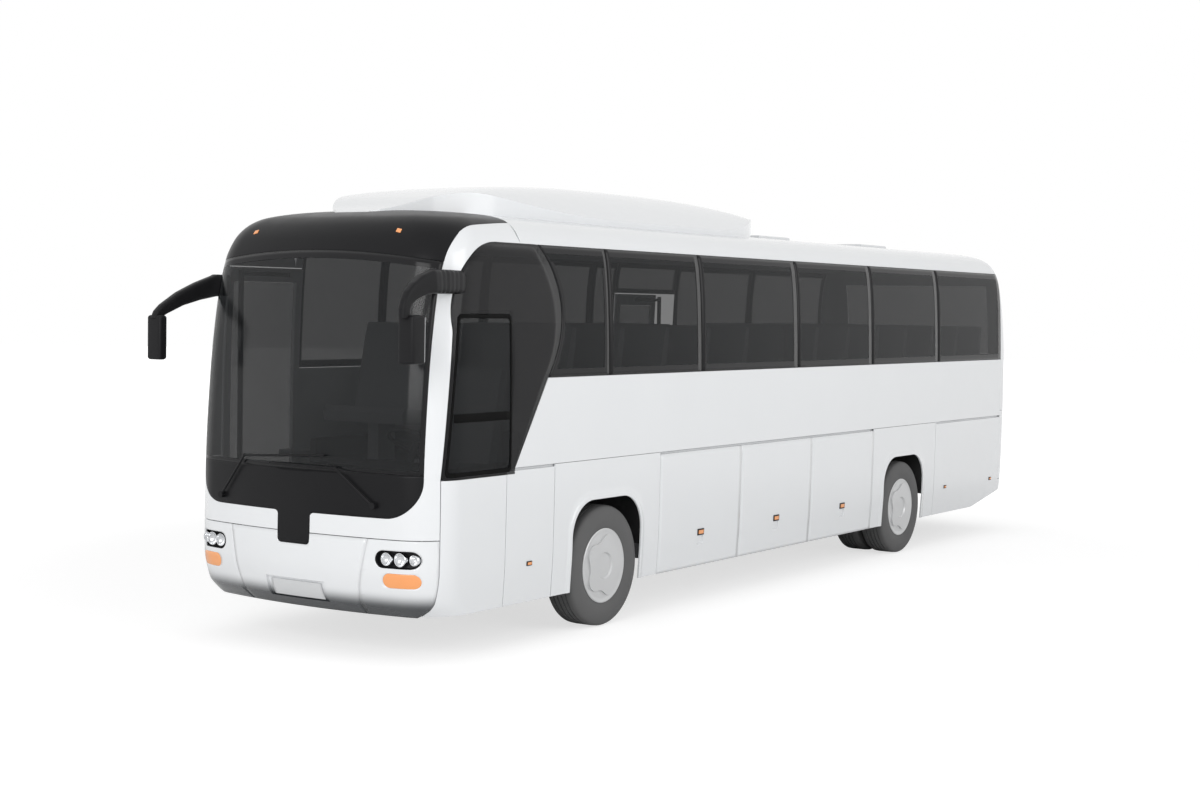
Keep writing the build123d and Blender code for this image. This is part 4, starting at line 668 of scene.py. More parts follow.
def ring_outline(width: Array, height: Array, corner: float, count: int = 40) -> tuple:
    """Give a superellipse: the sine and cosine to a power, with their signs kept.

    Args:
        width: Half its width, one for each ring.
        height: Half its height, one for each ring.
        corner: The power, 1 for an ellipse and less for squarer corners.
        count: Points round it.

    Returns:
        The places across and up, one row for each ring.
    """
    angle = np.linspace(0, 2 * math.pi, count, endpoint=False)[None]
    across = np.sign(np.cos(angle)) * np.abs(np.cos(angle)) ** corner
    up = np.sign(np.sin(angle)) * np.abs(np.sin(angle)) ** corner
    return width[:, None] * across, height[:, None] * up


def block(low: tuple, high: tuple, inset: float, corner: float = 0.25) -> Array:
    """Give a block with rounded edges, as rings from its foot to its top.

    Args:
        low: Its lowest corner.
        high: Its highest corner.
        inset: How round its top and foot are.
        corner: The power that rounds its upright edges.

    Returns:
        The rings, whose first and last close on the middle.
    """
    low, high = np.array(low), np.array(high)
    middle, half = (low + high) / 2, (high - low) / 2
    turn = np.linspace(0, math.pi / 2, 5)
    drawn_in = inset * (1 - np.sin(turn))
    raised = inset * (1 - np.cos(turn))
    closed = [half[0] + half[1]]
    shrink = np.concatenate([closed, drawn_in, drawn_in[::-1], closed])
    rise = np.concatenate([[-half[2]], -half[2] + raised, half[2] - raised[::-1], [half[2]]])
    width = np.clip(half[0] - shrink, 0, None)
    depth = np.clip(half[1] - shrink, 0, None)
    across, up = ring_outline(width, depth, corner)
    return np.stack([middle[0] + across, middle[1] + up, middle[2] + rise[:, None] + 0 * across], -1)


def side_grid(rear: float, front: float, foot: float | Callable, top: float | Callable, side: Side,
              columns: int = 24, rows: int = 20) -> Array:
    """Give a side panel: straight columns from its foot to its top, carried onto the hull.

    Args:
        rear: Its rear edge.
        front: Its front edge.
        foot: Its lower level, or a function of X.
        top: Its upper level, or a function of X.
        side: The side that it is on.
        columns: Points along it.
        rows: Points up it.

    Returns:
        The panel's points.
    """
    x = np.linspace(rear, front, columns)
    low = foot(x) if callable(foot) else np.full(columns, foot)
    high = top(x) if callable(top) else np.full(columns, top)
    rise = np.linspace(0, 1, rows)[:, None]
    return HULL.side(x[None] + 0 * rise, low + rise * (high - low), side)


@dataclass(frozen=True)
class Skirt:
    """The panels below the waist: fixed ones with the wheel arches, and the flaps on their hinges."""

    corner_seam: float = ahead(1.450)
    service_seam: float = ahead(0.796)
    arch_seam: float = ahead(-0.834)
    flap_width: float = 1.472
    rear_arch_seam: float = ahead(-6.930)
    engine_seam: float = ahead(-8.930)
    corner_front: float = ahead(2.215)
    arch_half: float = 0.530
    arch_top: float = 1.097
    arch_round: float = 0.300
    lip_width: float = 0.046
    lip_rise: float = 0.009
    flap_drop: float = 0.022
    ramp_start: float = ahead(-8.123)
    ramp_slope: float = 0.1737
    clear: float = 0.012

    def foot(self, x: Array) -> Array:
        """Give the skirt's lower edge, level and then rising towards the tail."""
        return SKIRT_FOOT + self.clear + np.clip(self.ramp_start - x, 0, None) * self.ramp_slope

    def luggage_seam(self, count: float) -> float:
        """Give the seam behind the luggage flap of that number, or a place between two seams."""
        return self.arch_seam - count * self.flap_width

    def flap(self, name: str, rear: float, front: float, side: Side, pull: float | None = None) -> None:
        """Build one lift-up flap, with the recess of its pull where it has one.

        Args:
            name: The CAD node and body that it stands for.
            rear: Its rear seam.
            front: Its front seam.
            side: Its side.
            pull: The X of its pull, or nothing.
        """
        if pull is None:
            grid = side_grid(rear + GAP, front - GAP, self.foot, WAIST - self.flap_drop, side, 30, 24)
        else:
            half, low, high, wall = MARKS.pull_half, MARKS.pull_foot, MARKS.pull_top, MARKS.pull_wall
            x = np.concatenate([
                np.linspace(rear + GAP, pull - half, 14),
                np.linspace(pull - half + wall, pull + half - wall, 5),
                np.linspace(pull + half, front - GAP, 14),
            ])[None]
            z = np.concatenate([
                np.linspace(SKIRT_FOOT + self.clear, low, 8), np.linspace(low + wall, high - wall, 5),
                np.linspace(high, WAIST - self.flap_drop, 16),
            ])[:, None]
            grid = HULL.side(x, z, side)
            sunk = (np.abs(x - pull) < half - wall / 2) & (z > low + wall / 2) & (z < high - wall / 2)
            grid[..., 1] -= side.value * np.where(sunk, MARKS.pull_depth, 0.0)
        Piece(name + "_skin", [grid], WHITE, name, (name,), SHEET, 0.0 if pull else BEVEL).build()

    def arch_path(self, wheel: float) -> Array:
        """Give a wheel arch's outline.

        Args:
            wheel: The wheel's X.

        Returns:
            Rows of X and level, from the front foot over the top to the rear foot.
        """
        straight = self.arch_top - self.arch_round
        inner = self.arch_half - self.arch_round
        front, rear = wheel + self.arch_half, wheel - self.arch_half
        foot = float(self.foot(np.array(front)))
        return chain(
            line((front, foot), (front, straight), 10),
            bow((wheel + inner, straight), self.arch_round, 0, 90, 15),
            line((wheel + inner, self.arch_top), (wheel - inner, self.arch_top), 12),
            bow((wheel - inner, straight), self.arch_round, 90, 180, 15),
            line((rear, straight), (rear, foot), 10),
        )

    def arch_panel(self, name: str, rear: float, front: float, wheel: float, side: Side) -> None:
        """Build a fixed panel round a wheel arch, ruled from the arch's raised lip to its border.

        Args:
            name: The new piece's name.
            rear: Its rear seam.
            front: Its front seam.
            wheel: The wheel's X.
            side: Its side.
        """
        arch = self.arch_path(wheel)
        foot, top = float(arch[0, 1]), WAIST - GAP
        border = chain(
            line((front - GAP, foot), (front - GAP, top), 17),
            line((front - GAP, top), (rear + GAP, top), 26),
            line((rear + GAP, top), (rear + GAP, foot), 17),
        )
        span = np.hypot(*(border - arch).T)[None]
        lip = np.array([0.0, 0.5, 0.88, 1.0, 1.12])[:, None] * self.lip_width / span
        rest = lip[-1:] + np.linspace(0, 1, 9)[1:, None] * (1 - lip[-1:])
        share = np.concatenate([lip, rest])[:, :, None]
        flat = (1 - share) * arch[None] + share * border[None]
        grid = HULL.side(flat[..., 0], flat[..., 1], side)
        rise = np.zeros(len(share))
        rise[:5] = np.array([1.0, 1.0, 0.9, 0.3, 0.0]) * self.lip_rise
        grid[..., 1] += side.value * rise[:, None]
        skin(name, [grid], "skirt_panels")

    def build(self) -> None:
        """Build every panel below the waist."""
        left, right = Side.LEFT, Side.RIGHT
        corner = side_grid(self.corner_seam + GAP, self.corner_front - GAP, self.foot, CORNER_TOP, left)
        skin("corner_panel_left", [corner], "skirt_panels")
        self.flap("service_flap_left", self.service_seam, self.corner_seam, left)
        self.arch_panel("arch_panel_front_left", self.arch_seam, self.service_seam, FRONT_AXLE, left)
        self.arch_panel("arch_panel_rear_left", self.rear_arch_seam, self.luggage_seam(3), REAR_AXLE, left)
        for count in range(3):
            name = f"luggage_flap_left_{count + 1}"
            middle = self.luggage_seam(count + 0.5)
            self.flap(name, self.luggage_seam(count + 1), self.luggage_seam(count), left, middle)
        for count in range(2):
            name = f"luggage_flap_right_{count + 1}"
            middle = self.luggage_seam(count + 0.5)
            self.flap(name, self.luggage_seam(count + 1), self.luggage_seam(count), right, middle)
        self.flap("engine_flap_left", self.engine_seam, self.rear_arch_seam, left)
        self.flap("engine_flap_right", self.engine_seam, self.rear_arch_seam, right)
        doors = DOORS
        seam = doors.front_rear - doors.gap
        self.arch_panel("arch_panel_front_right", self.arch_seam, seam, FRONT_AXLE, right)
        seam = doors.middle_rear - doors.gap
        self.arch_panel("arch_panel_rear_right", self.rear_arch_seam, seam, REAR_AXLE, right)
        ahead_door = side_grid(doors.middle_front + doors.gap + GAP, self.luggage_seam(2) - GAP,
                               self.foot, WAIST - GAP, right, 6)
        skin("skirt_panel_right", [ahead_door], "skirt_panels")
        corner = side_grid(doors.front_front + doors.gap, self.corner_front - GAP, self.foot,
                           SCREEN_FOOT - GAP, right)
        skin("corner_panel_right", [corner], "skirt_panels")


@dataclass(frozen=True)
class Doors:
    """The two passenger doors on the right, on their swing arms."""

    front_rear: float = ahead(1.120)
    front_front: float = ahead(2.020)
    middle_rear: float = ahead(-4.700)
    middle_front: float = ahead(-3.900)
    foot: float = 0.370
    front_top: float = 3.000
    middle_top: float = 2.860
    glass_foot: float = 1.250
    border: float = 0.075
    header: float = 0.120
    gap: float = 0.008
    thickness: float = 0.036

    def leaf(self, name: str, rear: float, front: float, top: float) -> None:
        """Build a door's leaf and its glass, each on the hull.

        Args:
            name: The CAD body.
            rear: Its rear edge.
            front: Its front edge.
            top: Its upper edge.
        """
        right = Side.RIGHT
        outer = chain(
            line((rear, self.foot), (front, self.foot), 12), line((front, self.foot), (front, top), 40),
            line((front, top), (rear, top), 12), line((rear, top), (rear, self.foot), 40),
        )
        inset, glass_top = self.border, top - self.header
        inner = chain(
            line((rear + inset, self.glass_foot), (front - inset, self.glass_foot), 12),
            line((front - inset, self.glass_foot), (front - inset, glass_top), 40),
            line((front - inset, glass_top), (rear + inset, glass_top), 12),
            line((rear + inset, glass_top), (rear + inset, self.glass_foot), 40),
        )
        flat = between(outer, inner, np.linspace(0, 1, 8))
        Piece(name + "_leaf", [HULL.side(flat[..., 0], flat[..., 1], right)], WHITE, name, (name,),
              self.thickness, BEVEL).build()
        pane = side_grid(rear + inset + GAP, front - inset - GAP, self.glass_foot + GAP, glass_top - GAP,
                         right, 14, 30)
        Piece(name + "_pane", [pane], GLASS, name, (name + "_glass",), PANE).build()

    def build(self) -> None:
        """Build both doors."""
        self.leaf("front_door", self.front_rear, self.front_front, self.front_top)
        self.leaf("middle_door", self.middle_rear, self.middle_front, self.middle_top)


DOORS = Doors()


@dataclass(frozen=True)
class Walls:
    """The side walls above the waist, the roof and the rear."""

    slant_foot: float = ahead(1.345)
    slant_top: float = ahead(0.900)
    cap_seam: float = ahead(1.200)
    rear_seam: float = ahead(-8.930)
    lid_half: float = 0.800
    lid_foot: float = 0.640
    lid_top: float = 1.500
    glass_half: float = 0.980
    glass_foot: float = 2.200
    glass_top: float = 3.060
    lamp_front: float = ahead(-9.140)
    lamp_inner: float = 1.000
    lamp_foot: float = 0.952
    lamp_top: float = 1.309
    lamp_split: float = 1.204
    lens_wall: float = 0.012
    lens_bevel: float = 0.002
    lid_wall: float = 0.030
    ring_run: float = 1.2
    spine_inset: float = 0.5
    row_height: float = 0.06

    def waist(self) -> None:
        """Build the white panels between the waist and the windows."""
        rise = np.linspace(0, 1, 24)[:, None]
        front = self.slant_foot + rise * (self.slant_top - self.slant_foot)
        x = self.rear_seam + (front - self.rear_seam) * np.linspace(0, 1, 90)[None]
        z = WAIST + rise * (GLASS_FOOT - WAIST)
        grid = HULL.side(x, z, Side.LEFT)
        skin("waist_panel_left", [grid], "side_walls")
        pieces = (
            ("waist_panel_right_front", DOORS.middle_front + DOORS.gap, DOORS.front_rear - DOORS.gap),
            ("waist_panel_right_rear", self.rear_seam, DOORS.middle_rear - DOORS.gap),
        )
        for name, rear, ahead_x in pieces:
            grid = side_grid(rear, ahead_x, WAIST, GLASS_FOOT, Side.RIGHT, 60, 24)
            skin(name, [grid], "side_walls")

    def roof(self) -> None:
        """Build the roof: rings of its outline up from the windows' tops, then in to the middle line."""
        rise = np.array([0.0, 0.15, 0.3, 0.42, 0.54, 0.64, 0.72, 0.79, 0.85, 0.9, 0.94, 0.97, 0.99, 1.0])
        levels = GLASS_TOP + rise * (HULL.roof - GLASS_TOP)
        run = self.cap_seam - HULL.tail - self.ring_run
        turn = np.concatenate([
            -2 - run * np.linspace(1, 0, 40)[:-1],
            np.linspace(-2, -1, 13)[:-1], np.linspace(-1, 1, 25)[:-1], np.linspace(1, 2, 13)[:-1],
            2 + run * np.linspace(0, 1, 40),
        ])
        ring = HULL.wrap(turn[None] + 0 * levels[:, None], levels[:, None] + 0 * turn[None], Side.RIGHT)
        straight = np.abs(turn) > 2
        far = (np.abs(turn) - 2) / run
        start = HULL.wrap(np.full(len(levels), 2.0), levels, Side.RIGHT)[:, 0][:, None]
        along = start + far[None] * (self.cap_seam - start)
        ring[..., 0] = np.where(straight[None], along, ring[..., 0])
        inward = np.linspace(0, 1, 9)[1:, None, None]
        spine = ring[-1].copy()
        spine[:, 0] = np.clip(spine[:, 0], spine[:, 0].min() + self.spine_inset, None)
        spine[:, 1] = 0
        grid = np.concatenate([ring, (1 - inward) * ring[-1][None] + inward * spine[None]])
        skin("roof_skin", [grid], "roof")

    def rear(self) -> None:
        """Build the rear wall round its window, the rear corners, the bumper and the engine lid."""
        tail = Side.RIGHT
        rows = 40
        z = np.linspace(self.lid_top, GLASS_TOP, rows)
        edge = HULL.turn_at(z, tail, x=np.full(rows, self.rear_seam))
        hole = HULL.turn_at(z, tail, y=np.full(rows, self.glass_half))
        grids = []
        for way in (-1, 1):
            share = np.linspace(0, 1, 16)[None]
            turn = way * (edge[:, None] + share * (hole - edge)[:, None])
            grids.append(HULL.wrap(turn, z[:, None] + 0 * turn, tail))
        for low, high, count in ((self.lid_top, self.glass_foot, 14), (self.glass_top, GLASS_TOP, 6)):
            level = np.linspace(low, high, count)[:, None]
            y = np.linspace(-self.glass_half, self.glass_half, 40)[None]
            grids.append(HULL.rear(y, level))
        skin("rear_wall_skin", grids, "rear_wall")
        for way, word in ((1, "left"), (-1, "right")):
            edge, side_cut = {"x": self.rear_seam + GAP}, {"x": self.lamp_front}
            inner, rear_cut = {"y": self.lid_half}, {"y": self.lamp_inner}
            foot, top = self.lamp_foot, self.lamp_top
            grids = [
                self._corner(way, edge, side_cut, self.lid_foot, foot),
                self._corner(way, edge, side_cut, foot, top),
                self._corner(way, edge, side_cut, top, self.lid_top - GAP),
                self._corner(way, side_cut, rear_cut, self.lid_foot, foot),
                self._corner(way, side_cut, rear_cut, top, self.lid_top - GAP),
                self._corner(way, rear_cut, inner, self.lid_foot, foot),
                self._corner(way, rear_cut, inner, foot, top),
                self._corner(way, rear_cut, inner, top, self.lid_top - GAP),
            ]
            skin(f"rear_corner_{word}", grids, "rear_wall")
            lenses = (("stop", RED, foot, self.lamp_split), ("clear", LENS, self.lamp_split, top))
            for part, finish, low, high in lenses:
                grid = self._corner(way, {"x": self.lamp_front - GAP}, {"y": self.lamp_inner + GAP},
                                    low + GAP, high - GAP)
                Piece(f"tail_lamp_{word}_{part}", [grid], finish, replaces=("tail_lamps",),
                      wall=self.lens_wall, bevel=self.lens_bevel).build()
        level = np.linspace(self.glass_foot + GAP, self.glass_top - GAP, 24)[:, None]
        y = np.linspace(-self.glass_half + GAP, self.glass_half - GAP, 40)[None]
        Piece("rear_window", [HULL.rear(y, level)], GLASS, replaces=("window_panes",),
              wall=PANE).build()
        level = np.linspace(self.lid_foot + GAP, self.lid_top - 2 * GAP, 24)[:, None]
        y = np.linspace(-self.lid_half + GAP, self.lid_half - GAP, 40)[None]
        Piece("engine_lid_skin", [HULL.rear(y, level)], WHITE, "engine_lid",
              ("engine_lid",), self.lid_wall, BEVEL).build()
        share = np.linspace(0, 1, 10)[:, None]
        turn_end = HULL.turn_at(np.array([self.lid_foot]), tail, x=np.array([self.rear_seam]))[0]
        turn = np.concatenate([
            np.linspace(-turn_end, -2, 8)[:-1], np.linspace(-2, -1, 12)[:-1], np.linspace(-1, 1, 30)[:-1],
            np.linspace(1, 2, 12)[:-1], np.linspace(2, turn_end, 8),
        ])[None]
        place = HULL.wrap(turn, np.full(turn.shape, self.lid_foot), tail)[..., 0]
        foot = SKIRT.foot(place)
        level = foot + share * (self.lid_foot - GAP - foot)
        skin("rear_bumper_skin", [HULL.wrap(turn + 0 * level, level, tail)], "rear_bumper")

    def _corner(self, way: int, first: dict, last: dict, low: float, high: float) -> Array:
        """Give a patch of a rear corner.

        Args:
            way: 1 for left, -1 for right.
            first: The X or the Y where it starts.
            last: The X or the Y where it stops.
            low: Its lower level.
            high: Its upper level.

        Returns:
            The patch's points.
        """
        rows = max(3, int((high - low) / self.row_height))
        level = np.linspace(low, high, rows)
        start, stop = (
            HULL.turn_at(level, Side.RIGHT, **{key: np.full(rows, value) for key, value in place.items()})
            for place in (first, last)
        )
        share = np.linspace(0, 1, 12)[None]
        turn = way * (start[:, None] + share * (stop - start)[:, None])
        return HULL.wrap(turn, level[:, None] + 0 * turn, Side.RIGHT)

    def build(self) -> None:
        """Build the upper walls, the roof and the rear."""
        self.waist()
        self.roof()
        self.rear()


SKIRT = Skirt()


@dataclass(frozen=True)
class Glazing:
    """The side windows, glued on as one dark band with thin seams."""

    seams: tuple = (0.720, 0.010, -1.530, -3.430, -5.160, -6.950)
    seam: float = 0.010
    border: float = 0.055
    sealant_gap: float = 0.001
    sealant: float = 0.005

    def pane(self, name: str, rear: float, front: float, foot: float, side: Side) -> None:
        """Build one pane with its printed border.

        Args:
            name: The piece's name.
            rear: Its rear edge.
            front: Its front edge.
            foot: Its lower edge.
            side: Its side.
        """
        z = np.linspace(foot + GAP, GLASS_TOP - GAP, 34)[:, None]
        end = curve(z) if side is Side.LEFT and front == ahead(self.seams[0]) else front + 0 * z
        x = rear + self.seam / 2 + np.linspace(0, 1, 26)[None] * (end - self.seam - rear)
        made = Piece(name, [HULL.side(x, z, side)], GLASS, replaces=("window_panes",),
                     wall=PANE).build()

        def edge(point: Array) -> Array:
            """Tell which of the faces' middles lie in the printed border.

            Args:
                point: The middles' three coordinates.

            Returns:
                True for each that does.
            """
            high = curve(point[2]) if side is Side.LEFT and front == ahead(self.seams[0]) else front
            width = self.border
            return ((point[0] < rear + width) | (point[0] > high - width)
                    | (point[2] < foot + width) | (point[2] > GLASS_TOP - width))

        mark_border(made, edge)

    def build(self) -> None:
        """Build every pane of both sides."""
        left = [ahead(place) for place in self.seams] + [WALLS.rear_seam]
        right = [DOORS.front_rear - DOORS.gap] + left[1:]
        for side, seams in ((Side.LEFT, left), (Side.RIGHT, right)):
            for count, (front, rear) in enumerate(zip(seams[:-1], seams[1:])):
                spans = [(rear, front, GLASS_FOOT)]
                if side is Side.RIGHT and rear < DOORS.middle_front < front:
                    spans = [(DOORS.middle_front + DOORS.gap, front, GLASS_FOOT),
                             (rear, DOORS.middle_front + DOORS.gap, DOORS.middle_top + DOORS.gap)]
                elif side is Side.RIGHT and rear < DOORS.middle_rear < front:
                    spans = [(rear, DOORS.middle_rear - DOORS.gap, GLASS_FOOT),
                             (DOORS.middle_rear - DOORS.gap, front, DOORS.middle_top + DOORS.gap)]
                for part, (low, high, foot) in enumerate(spans):
                    self.pane(f"pane_{side.name.lower()}_{count + 1}_{part + 1}", low, high, foot, side)
                if count:
                    self.joint(f"pane_joint_{side.name.lower()}_{count}", front, side)

    def joint(self, name: str, place: float, side: Side) -> None:
        """Fill the seam between two panes with black sealant, just below the glass.

        Args:
            name: The piece's name.
            place: The seam's X.
            side: Its side.
        """
        half = self.seam / 2 - self.sealant_gap
        grid = side_grid(place - half, place + half, GLASS_FOOT + GAP, GLASS_TOP - GAP, side, 3, 34)
        grid[..., 1] -= side.value * self.sealant_gap
        Piece(name, [grid], SEAL, wall=self.sealant).build()


CURVE_REAR, CURVE_BEND, CURVE_LEVEL = ahead(0.712), 0.80, 2.635


def curve(z: Array) -> Array:
    """Give the X of the curved seam behind the driver's glass, on a parabola."""
    return CURVE_REAR + CURVE_BEND * (z - CURVE_LEVEL) ** 2


def mark_border(made: bpy.types.Object, edge: Callable) -> None:
    """Give the faces near a pane's edges the printed black border.

    Args:
        made: The pane.
        edge: A function that tells from the faces' middles which of them are near an edge.
    """
    mesh = made.data
    mesh.materials.append(BORDER.material())
    centres = np.zeros(len(mesh.polygons) * 3)
    mesh.polygons.foreach_get("center", centres)
    mesh.polygons.foreach_set("material_index", edge(centres.reshape(-1, 3).T).astype(np.int32))


WALLS = Walls()


def eased(start: float, stop: float, count: int) -> Array:
    """Give places that crowd towards the end where a round stands upright, by the sine of a quarter turn."""
    return start + (stop - start) * np.sin(np.linspace(0, math.pi / 2, count))


@dataclass(frozen=True)
class Face:
    """The coach's front: bumper, panel, mask, dome, screen, white pillars and the driver's window."""

    band_y: float = 1.142
    cap_y: float = 1.060
    tab_half: float = 0.165
    tab_foot: float = 0.850
    tab_neck: float = 0.040
    tab_round: float = 0.035
    mask_round: float = 0.280
    brow_side: float = 3.036
    brow_top: float = 3.120
    seam_top: tuple = (0.712, 0.945)
    seam_bend: tuple = (0.609, 0.468)
    seam_foot: tuple = (0.579, 0.260)
    pillar_foot: tuple = (ahead(2.215), CORNER_TOP)
    pillar_bend: tuple = (ahead(2.098), 2.520)
    pillar_middle: tuple = (ahead(1.930), 3.040)
    pillar_top: tuple = (ahead(1.500), GLASS_TOP)
    window: tuple = ((1.400, 1.412), (2.190, 1.412), (2.052, 2.640), (1.400, 2.640))
    window_bar: tuple = (1.822, 1.888)
    window_bar_span: tuple = (ahead(1.420), ahead(2.110))
    window_round: float = 0.035
    window_middle: tuple = (ahead(1.735), 2.060)
    window_seal: float = 0.045
    window_gap: float = 0.006
    bar_wall: float = 0.008
    seal_rise: float = 0.003
    dome_start: float = 3.190
    panel_row: float = 1.405
    screen_border: tuple = (0.040, 0.030, 0.050)
    plate_half: float = 0.260
    plate_foot: float = 0.424
    plate_top: float = 0.552
    plate_back: float = 0.010
    recess_half: float = 0.305
    recess_side: float = 0.360
    recess_foot: float = 0.413
    recess_top: float = 0.567
    recess_depth: float = 0.022
    recess_wall: float = 0.003
    recess_edge: float = 0.005

    def brow(self, y: Array) -> Array:
        """Give the screen's upper edge, on the arc through its middle and its two ends.

        Args:
            y: The lateral place.

        Returns:
            The edge's level.
        """
        rise = self.brow_top - self.brow_side
        radius = (self.band_y ** 2 + rise ** 2) / (2 * rise)
        return self.brow_top - radius + np.sqrt(radius ** 2 - y ** 2)

    def mask_foot(self, y: Array) -> Array:
        """Give the mask's lower edge: level, with a round at each end and a tab in the middle.

        Args:
            y: The lateral place.

        Returns:
            The edge's level.
        """
        place = np.abs(y)
        outer = np.clip(place - self.band_y + self.mask_round, 0, self.mask_round)
        neck = np.clip(self.tab_half + self.tab_neck - place, 0, self.tab_neck)
        level = (MASK_FOOT + self.mask_round - np.sqrt(self.mask_round ** 2 - outer ** 2)
                 - self.tab_neck + np.sqrt(self.tab_neck ** 2 - neck ** 2))
        tab = np.clip(place - self.tab_half + self.tab_round, 0, self.tab_round)
        tab_level = self.tab_foot + self.tab_round - np.sqrt(self.tab_round ** 2 - tab ** 2)
        return np.where(place <= self.tab_half, tab_level, level)

    def seam(self, z: Array) -> Array:
        """Give the lateral place of the slanted seam in the bumper at each level."""
        places, levels = zip(self.seam_foot, self.seam_bend, self.seam_top)
        return np.interp(z, levels, places)

    def _outer_columns(self) -> Array:
        """Give the panel's columns.

        Returns:
            The lateral places from beside the tab out to the mask's edge.
        """
        start = self.tab_half + GAP
        return np.concatenate([
            eased(self.tab_half + self.tab_neck, start, 6)[::-1],
            np.linspace(self.tab_half + self.tab_neck, self.band_y - self.mask_round, 16)[1:],
            eased(self.band_y - self.mask_round, self.band_y, 14)[1:],
        ])

    def _corner(self, way: int, first: Array, level: Array, count: int = 12) -> Array:
        """Give a patch from places round the nose out to the corner panel's seam.

        Args:
            way: 1 for left, -1 for right.
            first: Where it starts round the nose, one for each level.
            level: The levels.
            count: Points across it.

        Returns:
            The patch's points.
        """
        last = HULL.turn_at(level, Side.LEFT, x=np.full(len(level), SKIRT.corner_front + GAP))
        share = np.linspace(0, 1, count)[None]
        turn = way * (first[:, None] + share * (last - first)[:, None])
        return HULL.wrap(turn, level[:, None] + 0 * turn, Side.LEFT)

    def mask(self) -> None:
        """Build the black mask under the screen, with its rounded corners and its tab."""
        half = np.concatenate([
            np.linspace(0, self.tab_half - self.tab_round, 5),
            eased(self.tab_half - self.tab_round, self.tab_half, 7)[1:],
            [self.tab_half + 0.0002],
            eased(self.tab_half + self.tab_neck, self.tab_half + 0.0004, 6)[::-1],
            np.linspace(self.tab_half + self.tab_neck, self.band_y - self.mask_round, 16)[1:],
            eased(self.band_y - self.mask_round, self.band_y - 0.0005, 14)[1:],
        ])
        y = np.concatenate([-half[::-1], half[1:]])[None]
        foot = self.mask_foot(y)
        share = np.linspace(0, 1, 16)[:, None]
        level = foot + share * (SCREEN_FOOT - GAP / 2 - foot)
        Piece("mask_skin", [HULL.front(y, level)], BLACK, replaces=("front_mask",),
              wall=SHEET).build()

    def panel(self) -> None:
        """Build the white panel between the bumper and the mask, in two halves beside the tab."""
        for way, word in ((1, "left"), (-1, "right")):
            y = way * self._outer_columns()[None]
            foot = BUMPER_SEAM + GAP
            top = self.mask_foot(y) - GAP
            share = np.linspace(0, 1, 10)[:, None]
            level = foot + share * (top - foot)
            rows = np.concatenate([level[:, -1], [self.panel_row, SCREEN_FOOT - GAP]])
            start = HULL.turn_at(rows, Side.LEFT, y=np.full(len(rows), self.band_y))
            corner = self._corner(way, start, rows)
            skin(f"front_panel_{word}", [HULL.front(y, level), corner], "front_panel")

    def bumper(self) -> None:
        """Build the bumper's middle, with its notch for the tab and the recess of the plate."""
        inner = np.concatenate([
            np.linspace(0, 0.06, 3), np.linspace(0.06, self.tab_half - self.tab_round, 4)[1:],
            eased(self.tab_half - self.tab_round, self.tab_half, 7)[1:], [self.tab_half + GAP],
            np.linspace(self.tab_half + GAP, self.recess_half - self.recess_edge, 6)[1:],
            [self.recess_half], [self.recess_side],
        ])
        y = np.concatenate([-inner[::-1], inner[1:]])[None]
        top = np.where(np.abs(y) < self.tab_half + GAP / 2, self.mask_foot(y) - GAP, BUMPER_SEAM - GAP)
        level = self._rows(top)
        middle = HULL.front(y, level)
        edge = self.recess_wall / 2
        sunk = ((np.abs(y) < self.recess_half - self.recess_wall) & (level > self.recess_foot - edge)
                & (level < self.recess_top + self.recess_wall))
        middle[..., 0] -= np.where(sunk, self.recess_depth, 0.0)
        grids = [middle]
        for way in (-1, 1):
            level = self._rows(np.full((1, 1), BUMPER_SEAM - GAP))[:, 0]
            span = self.seam(level) - GAP / 2 - self.recess_side
            y = way * (self.recess_side + np.linspace(0, 1, 10)[None] * span[:, None])
            grids.append(HULL.front(y, level[:, None] + 0 * y))
        # Its white paint has painted shade towards the foot, for the shade under the curved-under lip
        Piece("bumper_middle", grids, WHITE_PAINTED_SHADE, replaces=("front_bumper",), wall=SHEET).build()
        self.plate()

    def plate(self) -> None:
        """Build the blank plate, curved with the nose, in its recess."""
        y = np.linspace(-self.plate_half, self.plate_half, 20)[None]
        share = np.array([0.0, 0.004, 0.5, 0.996, 1.0])[:, None]
        level = self.plate_foot + (self.plate_top - self.plate_foot) * share + 0 * y
        grid = HULL.front(y, level)
        grid[..., 0] -= self.plate_back
        Piece("plate_blank", [grid], BARE, wall=LENS_WALL).build()

    def _rows(self, top: Array) -> Array:
        """Give the bumper's levels, with rows at the plate recess's edges.

        Args:
            top: Its upper edge.

        Returns:
            The levels, from its foot up.
        """
        above = self.recess_top + 2 * self.recess_wall
        fixed = np.concatenate([
            np.linspace(SKIRT_FOOT, self.recess_foot - THIN, 6),
            np.linspace(self.recess_foot, self.recess_top, 6), [above],
        ])[:, None] + 0 * top
        share = np.linspace(0, 1, 10)[1:, None]
        return np.concatenate([fixed, above + share * (top - above)])

